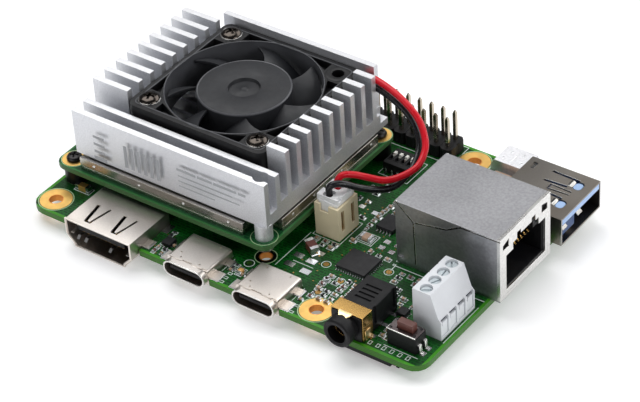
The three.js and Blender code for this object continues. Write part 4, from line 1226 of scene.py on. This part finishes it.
def fan_lead():
    for colour, path, material in (("red", RED_PATH, RED_WIRE), ("black", BLACK_PATH, BLACK_WIRE)):
        end = path[-1]
        wire = Shape()
        wire.tube(path + [(end[0], end[1], 7.6)], 0.62, 18, 8)
        piece(f"{colour}_wire", wire, material, replaces=(f"fan_wire_{colour}",))
    cutter = Shape()
    for path in (RED_PATH, BLACK_PATH):
        x, y = path[-1][:2]
        cutter.prism(rounded((x - 0.95, x + 0.95), (y - 0.95, y + 0.95), 0.4), "z", (7.7, 9))
    (x0, x1), _, _ = span("fan_plug")
    cutter.box((x0 - 1, x0 + 0.45), (23.2, 24.0), (7.6, 9))
    cutter.box((x1 - 0.5, x1 + 1), (21.6, 22.5), (7.6, 9))
    cutter.box((x1 - 0.5, x1 + 1), (24.7, 25.6), (7.6, 9))
    remade("plug_body", "fan_plug", WHITE, cutter, 0.12)
    (_, x1), _, _ = span("fan_socket")
    blades = Shape()
    for y in (22.0, 25.0):
        blades.box((x1 - 0.75, x1 - 0.45), (y - 0.35, y + 0.35), (0.9, 5.6))
    piece("socket_blades", blades, CLIP_GOLD, bevel=0.04)
    tails = Shape()
    for y in (22.0, 24.0):
        soldered(tails, (51.6, y), [(0.8, -0.02), (0.45, 0.3), (0.3, 0.9)], 0.95)
    piece("socket_solder", tails, SOLDER)


FAN = tuple(middle("fan_frame")[:2])
HUB_TOP = span("fan_rotor")[2][1]
SCREW_OFFSET = 12
BLADES = 7


def fan_blade(shape, number):
    """A broad curved blade: high on its anticlockwise edge, sweeping down and forward to the other."""
    across, along = 8, 8
    top, bottom = [], []
    for i in range(across + 1):
        r = 8.35 + (13.75 - 8.35) * i / across
        t = i / across
        row_top, row_bottom = [], []
        for j in range(along + 1):
            s = j / along
            lead = math.radians(8 * t + 6 * t * t)
            chord = math.radians(36 + 3 * t)
            a = 2 * math.pi * number / BLADES + lead - chord * s
            z = HUB_TOP - 0.55 - 5.0 * s + 0.9 * math.sin(math.pi * s) * (0.6 + 0.4 * t) - 0.15 * t
            thick = 0.62 - 0.25 * s
            u, v = FAN[0] + r * math.cos(a), FAN[1] + r * math.sin(a)
            row_top.append(shape.bm.verts.new((u, v, z)))
            row_bottom.append(shape.bm.verts.new((u, v, z - thick)))
        top.append(row_top)
        bottom.append(row_bottom)
    for i in range(across):
        for j in range(along):
            shape.bm.faces.new((top[i][j], top[i + 1][j], top[i + 1][j + 1], top[i][j + 1]))
            shape.bm.faces.new((bottom[i][j], bottom[i][j + 1], bottom[i + 1][j + 1], bottom[i + 1][j]))
    for i in range(across):
        for j in (0, along):
            shape.bm.faces.new((top[i][j], top[i + 1][j], bottom[i + 1][j], bottom[i][j]))
    for j in range(along):
        for i in (0, across):
            shape.bm.faces.new((top[i][j], top[i][j + 1], bottom[i][j + 1], bottom[i][j]))


def fan_wheel():
    blades = Shape()
    for number in range(BLADES):
        fan_blade(blades, number)
    piece("fan_blades", blades, ROTOR_GREY, body="fan_rotor", bevel=0.06)
    hub = Shape()
    hub.lathe(FAN, [(0, HUB_TOP - 0.5), (0.55, HUB_TOP - 0.46), (0.8, HUB_TOP - 0.62), (2.75, HUB_TOP - 0.62),
                    (2.95, HUB_TOP - 0.05), (3.1, HUB_TOP), (8.15, HUB_TOP), (8.45, HUB_TOP - 0.09),
                    (8.6, HUB_TOP - 0.3), (8.6, 12.2), (7.7, 12.2), (7.7, HUB_TOP - 0.9), (0.75,
                                                                                           HUB_TOP - 0.9),
                    (0.75, 12.0), (0, 12.0)], n=96)
    piece("fan_hub", hub, HUB_GREY, body="fan_rotor", replaces=("fan_rotor",))
    rim = Shape()
    rim.lathe(FAN, [(8.3, HUB_TOP - 0.05), (8.44, HUB_TOP + 0.01), (8.62, HUB_TOP - 0.12),
                    (8.64, HUB_TOP - 0.32),
                    (8.5, HUB_TOP - 0.3), (8.3, HUB_TOP - 0.05)], n=96)
    piece("fan_hub_rim", rim, RIM_GREY, body="fan_rotor")


def fan_housing():
    (x0, x1), (y0, y1), (low, top) = span("fan_frame")
    cutter = Shape()
    corners = [(sx, sy) for sx in (-1, 1) for sy in (-1, 1)]
    for sx, sy in corners:
        for swap in (False, True):
            tri = [(13.9, 4.6), (13.9, 9.3), (11.6, 9.3)]
            tri = [(v, u) for u, v in tri] if swap else tri
            cutter.prism([(FAN[0] + sx * u, FAN[1] + sy * v) for u, v in tri], "z", (top - 1.4, top + 1))
    cutter.box((x1 - 0.9, x1 + 1), (42.9, 45.2), (top - 3.2, top + 1))
    remade("fan_housing", "fan_frame", FAN_BLACK, cutter, 0.12)
    duct = Shape()
    duct.ring(FAN, 14.22, 14.42, (low + 0.2, top + 0.1), n=96)
    piece("fan_duct_lip", duct, RIM_GREY, bevel=0.06)
    ridge = Shape()
    ridge.hollow(rounded((x0 + 0.85, x1 - 0.85), (y0 + 0.85, y1 - 0.85), 1.2),
                 rounded((x0 + 1.05, x1 - 1.05), (y0 + 1.05, y1 - 1.05), 1.0), "z", (top - 0.1, top + 0.07))
    piece("fan_ridge", ridge, RIM_GREY)
    bosses = Shape()
    for sx, sy in corners:
        at = (FAN[0] + sx * SCREW_OFFSET, FAN[1] + sy * SCREW_OFFSET)
        bosses.ring(at, 1.2, 2.35, (top - 0.2, top + 0.05))
    piece("fan_bosses", bosses, FAN_BLACK, bevel=0.03)


def fan_screws():
    for number in range(1, 4):
        x, y, _ = middle(f"fan_screw_{number}")
        top = span(f"fan_screw_{number}")[2][1]
        head, cross, edge = Shape(), Shape(), Shape()
        head.lathe((x, y), [(0, 8.6), (0.85, 8.6), (0.85, 17.95), (1.95, 18.02), (1.97, 18.3),
                            (1.75, top - 0.28),
                            (1.2, top - 0.05), (0.5, top + 0.03), (0, top + 0.04)], n=40)
        turn = 0.35 * number
        for k in (0, 1):
            patch(cross, (x, y), turn + k * math.pi / 2, (-1.0, 1.0), (-0.21, 0.21), (top - 0.6, top + 1))
        cross.lathe((x, y), [(0, top - 0.62), (0.42, top - 0.5), (0.5, top + 1), (0, top + 1)], n=16)
        piece(f"fan_screw_head_{number}", head, SCREW_DARK, bevel=0.04, cutter=cross,
              replaces=(f"fan_screw_{number}",))
        edge.ring((x, y), 1.78, 2.02, (18.04, 18.26), n=48)
        piece(f"fan_screw_edge_{number}", edge, PALE_STEEL, bevel=0.05)


def module_screws():
    for place_name in ("front", "back"):
        node = f"module_screw_{place_name}"
        x, y, _ = middle(node)
        low, top = span(node)[2]
        head, cross = Shape(), Shape()
        head.lathe((x, y), [(0, low), (0.85, low), (0.85, MODULE_TOP), (1.45, MODULE_TOP), (1.45, top - 0.5),
                            (1.2, top - 0.15), (0.6, top), (0, top + 0.02)], n=32)
        for k in (0, 1):
            patch(cross, (x, y), 0.5 + k * math.pi / 2, (-0.85, 0.85), (-0.18, 0.18), (top - 0.5, top + 1))
        piece(f"module_screw_head_{place_name}", head, BLACK_METAL, bevel=0.04, cutter=cross,
              replaces=(node,))


# ---- heat sink marks, module details, underside ----

def heat_sink_marks():
    face = span("heat_sink")[1][0]
    y = (face - 0.015, face + 0.05)
    marks = Shape()

    def strip(x, z):
        marks.prism(outline_box(x, z), "y", y)

    for k, length in enumerate((4.2, 3.2, 5.0, 1.6)):
        start = 28.4 + sum((4.2, 3.2, 5.0, 1.6)[:k]) + 0.35 * k
        strip((start, start + length), (13.0, 13.5))
    for row, end in ((11.8, 40.5), (10.7, 42.0), (9.6, 36.5)):
        strip((28.6, end), (row, row + 0.22))
    for k in range(6):
        strip((16.4 + 1.45 * k, 17.1 + 1.45 * k), (8.9, 13.6))
    for k in range(3):
        strip((9.4, 11.9), (9.6 + 1.6 * k, 10.1 + 1.6 * k))
    strip((9.2, 12.1), (7.9, 8.7))
    piece("heat_sink_marks", marks, MARK_GREY)


def module_details():
    (x0, x1), (y0, y1), (_, z1) = span("module_shield")
    dimples = Shape()
    profile = [(0.32, 0.05), (0.28, -0.09), (0.15, -0.16), (0, -0.18)]
    for x in (8.8, 19.2, 29.2, 39.1):
        dimples.lathe((x, z1 - 0.9), [(r, y0 + h) for r, h in profile], "y", 14)
        dimples.lathe((x, z1 - 0.9), [(r, y1 - h) for r, h in profile], "y", 14)
    for y in (16.7, 23.0, 31.4, 40.4):
        dimples.lathe((y, z1 - 0.9), [(r, x1 - h) for r, h in profile], "x", 14)
        dimples.lathe((y, z1 - 0.9), [(r, x0 + h) for r, h in profile], "x", 14)
    piece("shield_dimples", dimples, PALE_STEEL)
    skirt = Shape()
    skirt.box((x0 + 0.6, 42.0), (y0 - 0.05, y0 + 0.06), (MODULE_TOP, MODULE_TOP + 0.75))
    skirt.box((x1 - 0.06, x1 + 0.05), (14.2, 42.2), (MODULE_TOP, MODULE_TOP + 0.75))
    skirt.box((x0 - 0.05, x0 + 0.06), (y0 + 0.6, y1 - 0.6), (MODULE_TOP, MODULE_TOP + 0.75))
    skirt.box((x0 + 0.6, 42.0), (y1 - 0.06, y1 + 0.05), (MODULE_TOP, MODULE_TOP + 0.75))
    piece("shield_skirt", skirt, CAN_STEEL, bevel=0.03)
    pad = Shape()
    pad.prism(rounded((17.5, 30.5), (20.5, 33.5), 0.6), "z", (5.6, 6.58))
    piece("processor_pad", pad, PAD_GREY, bevel=0.12)
    stack = Parts("stack")
    for node in ("stack_connector_front", "stack_connector_back"):
        (a, b), (c, d), _ = span(node)
        for k in range(int((b - a - 1) / 0.8)):
            for y, out in ((c, -1), (d, 1)):
                stack.shape(SOLDER).box((a + 0.7 + 0.8 * k, a + 0.95 + 0.8 * k),
                                        tuple(sorted((y, y + out * 0.5))),
                                        (-0.02, 0.14))
    stack.finish()


def underside():
    (x0, x1), (y0, y1), (z0, _) = span("ribbon_socket")
    p = Parts("under", UNDER, -1)
    for k in range(22):
        x = x0 + 1.7 + 0.5 * k
        p.shape(SOLDER).box((x - 0.12, x + 0.12), (y1 - 0.05, y1 + 0.9), p.z(-0.02, 0.12))
        p.shape(CLIP_GOLD).box((x - 0.1, x + 0.1), (2.4, 3.5), (z0 + 0.85, z0 + 0.97))
    for x in (x0 - 0.3, x1 + 0.3):
        p.pad((x, 3.6), 1.4, 2.2, tall=0.16)
    (a, b), (c, d), (e, _) = span("card_slot")
    for y in (c + 0.6, d - 0.6):
        for x in (a + 2.0, b - 0.4):
            p.pad((x, y + (0.9 if y > 27 else -0.9)), 1.5, 0.9, tall=0.2)
    for k in range(8):
        p.shape(SOLDER).box((b - 0.05, b + 0.9), (c + 2.2 + 1.1 * k, c + 2.6 + 1.1 * k), p.z(-0.02, 0.12))
    lip = Shape()
    lip.box((x0 + 0.3, x1 - 1.2), (0.25, y0 + 0.05), (z0 + 0.35, z0 + 1.3))
    piece("ribbon_front_lip", lip, BLACK, bevel=0.1)
    rng = random.Random(29)
    p.leaded((26.0, 32.0), (18.0, 24.0), 0.85, 0.5, lead=0.3)
    p.leaded((55.0, 59.0), (26.0, 31.0), 1.3, 1.27, "x", lead=0.6)
    p.leaded((60.0, 64.0), (12.0, 16.0), 0.85, 0.5, lead=0.3)
    p.cluster(rng, (21.0, 36.0), (8.5, 16.5), (2.1, 1.6), 0.7)
    p.cluster(rng, (48.0, 62.0), (34.0, 46.0), (2.2, 1.6), 0.6)
    p.cluster(rng, (52.0, 68.0), (18.0, 24.0), (2.2, 1.6), 0.6)
    p.cluster(rng, (20.0, 38.0), (34.0, 46.0), (2.4, 1.8), 0.5)
    p.vias(rng, (20.0, 66.0), (8.0, 48.0), 70)
    p.finish()
    detail = Shape()
    detail.box((a + 0.8, b - 1.2), (c + 2.0, c + 2.25), (e - 0.03, e + 0.1))
    detail.box((a + 0.8, b - 1.2), (d - 2.25, d - 2.0), (e - 0.03, e + 0.1))
    for k in range(3):
        detail.box((b - 2.6, b - 2.1), (c + 3.2 + 3.2 * k, c + 4.4 + 3.2 * k), (e - 0.03, e + 0.1))
    piece("card_slot_ribs", detail, CAN_STEEL, bevel=0.02)


for build in (plated_holes, silkscreen, carrier_parts, module_parts, hdmi, usb_c, audio_jack,
              reset_switch, lan,
              usb_a, micro_usb, pin_header, slide_switches, terminal_block, fan_lead, fan_wheel, fan_housing,
              fan_screws, module_screws, heat_sink_marks, module_details, underside):
    build()


stage()
lights()
camera()

KEPT_NODES = {
    MASK: ("baseboard_pcb",),
    MODULE_MASK: ("module_pcb",),
    ALUMINIUM: ("heat_sink",),
    CAN_STEEL: ("module_shield",),
    BLACK: (
        "hdmi_insert", "usb_c_tongue_1", "usb_c_tongue_2", "reset_switch_body", "ethernet_insert",
        "micro_usb_tongue", "dip_switch_body", "stack_connector_front", "stack_connector_back",
        "ribbon_socket"),
    CLIP_GOLD: ("audio_jack_clip",),
    PLATE_DARK: ("reset_switch_cover",),
    BROWN: ("reset_button", "ribbon_latch"),
    BLUE: ("usb_a_tongue",),
    CREAM: ("fan_socket",),
    CHIP: ("module_processor",),
    PAD_GREY: ("heat_sink_pad",),
    BLACK_METAL: ("spacer_front", "spacer_back"),
    STEEL: ("heat_sink_screw",),
    BRONZE: ("fan_bearing",),
    WINDING: ("fan_stator",),
    MAGNET: ("fan_magnet",),
    PALE_STEEL: ("card_slot",),
}

for material, nodes in KEPT_NODES.items():
    for node in nodes:
        dress(node, material)
for way in WAYS:
    dress(f"terminal_clamp_{way}", ZINC, 0.05)
    dress(f"dip_slider_{way}", SLIDER, 0.02)
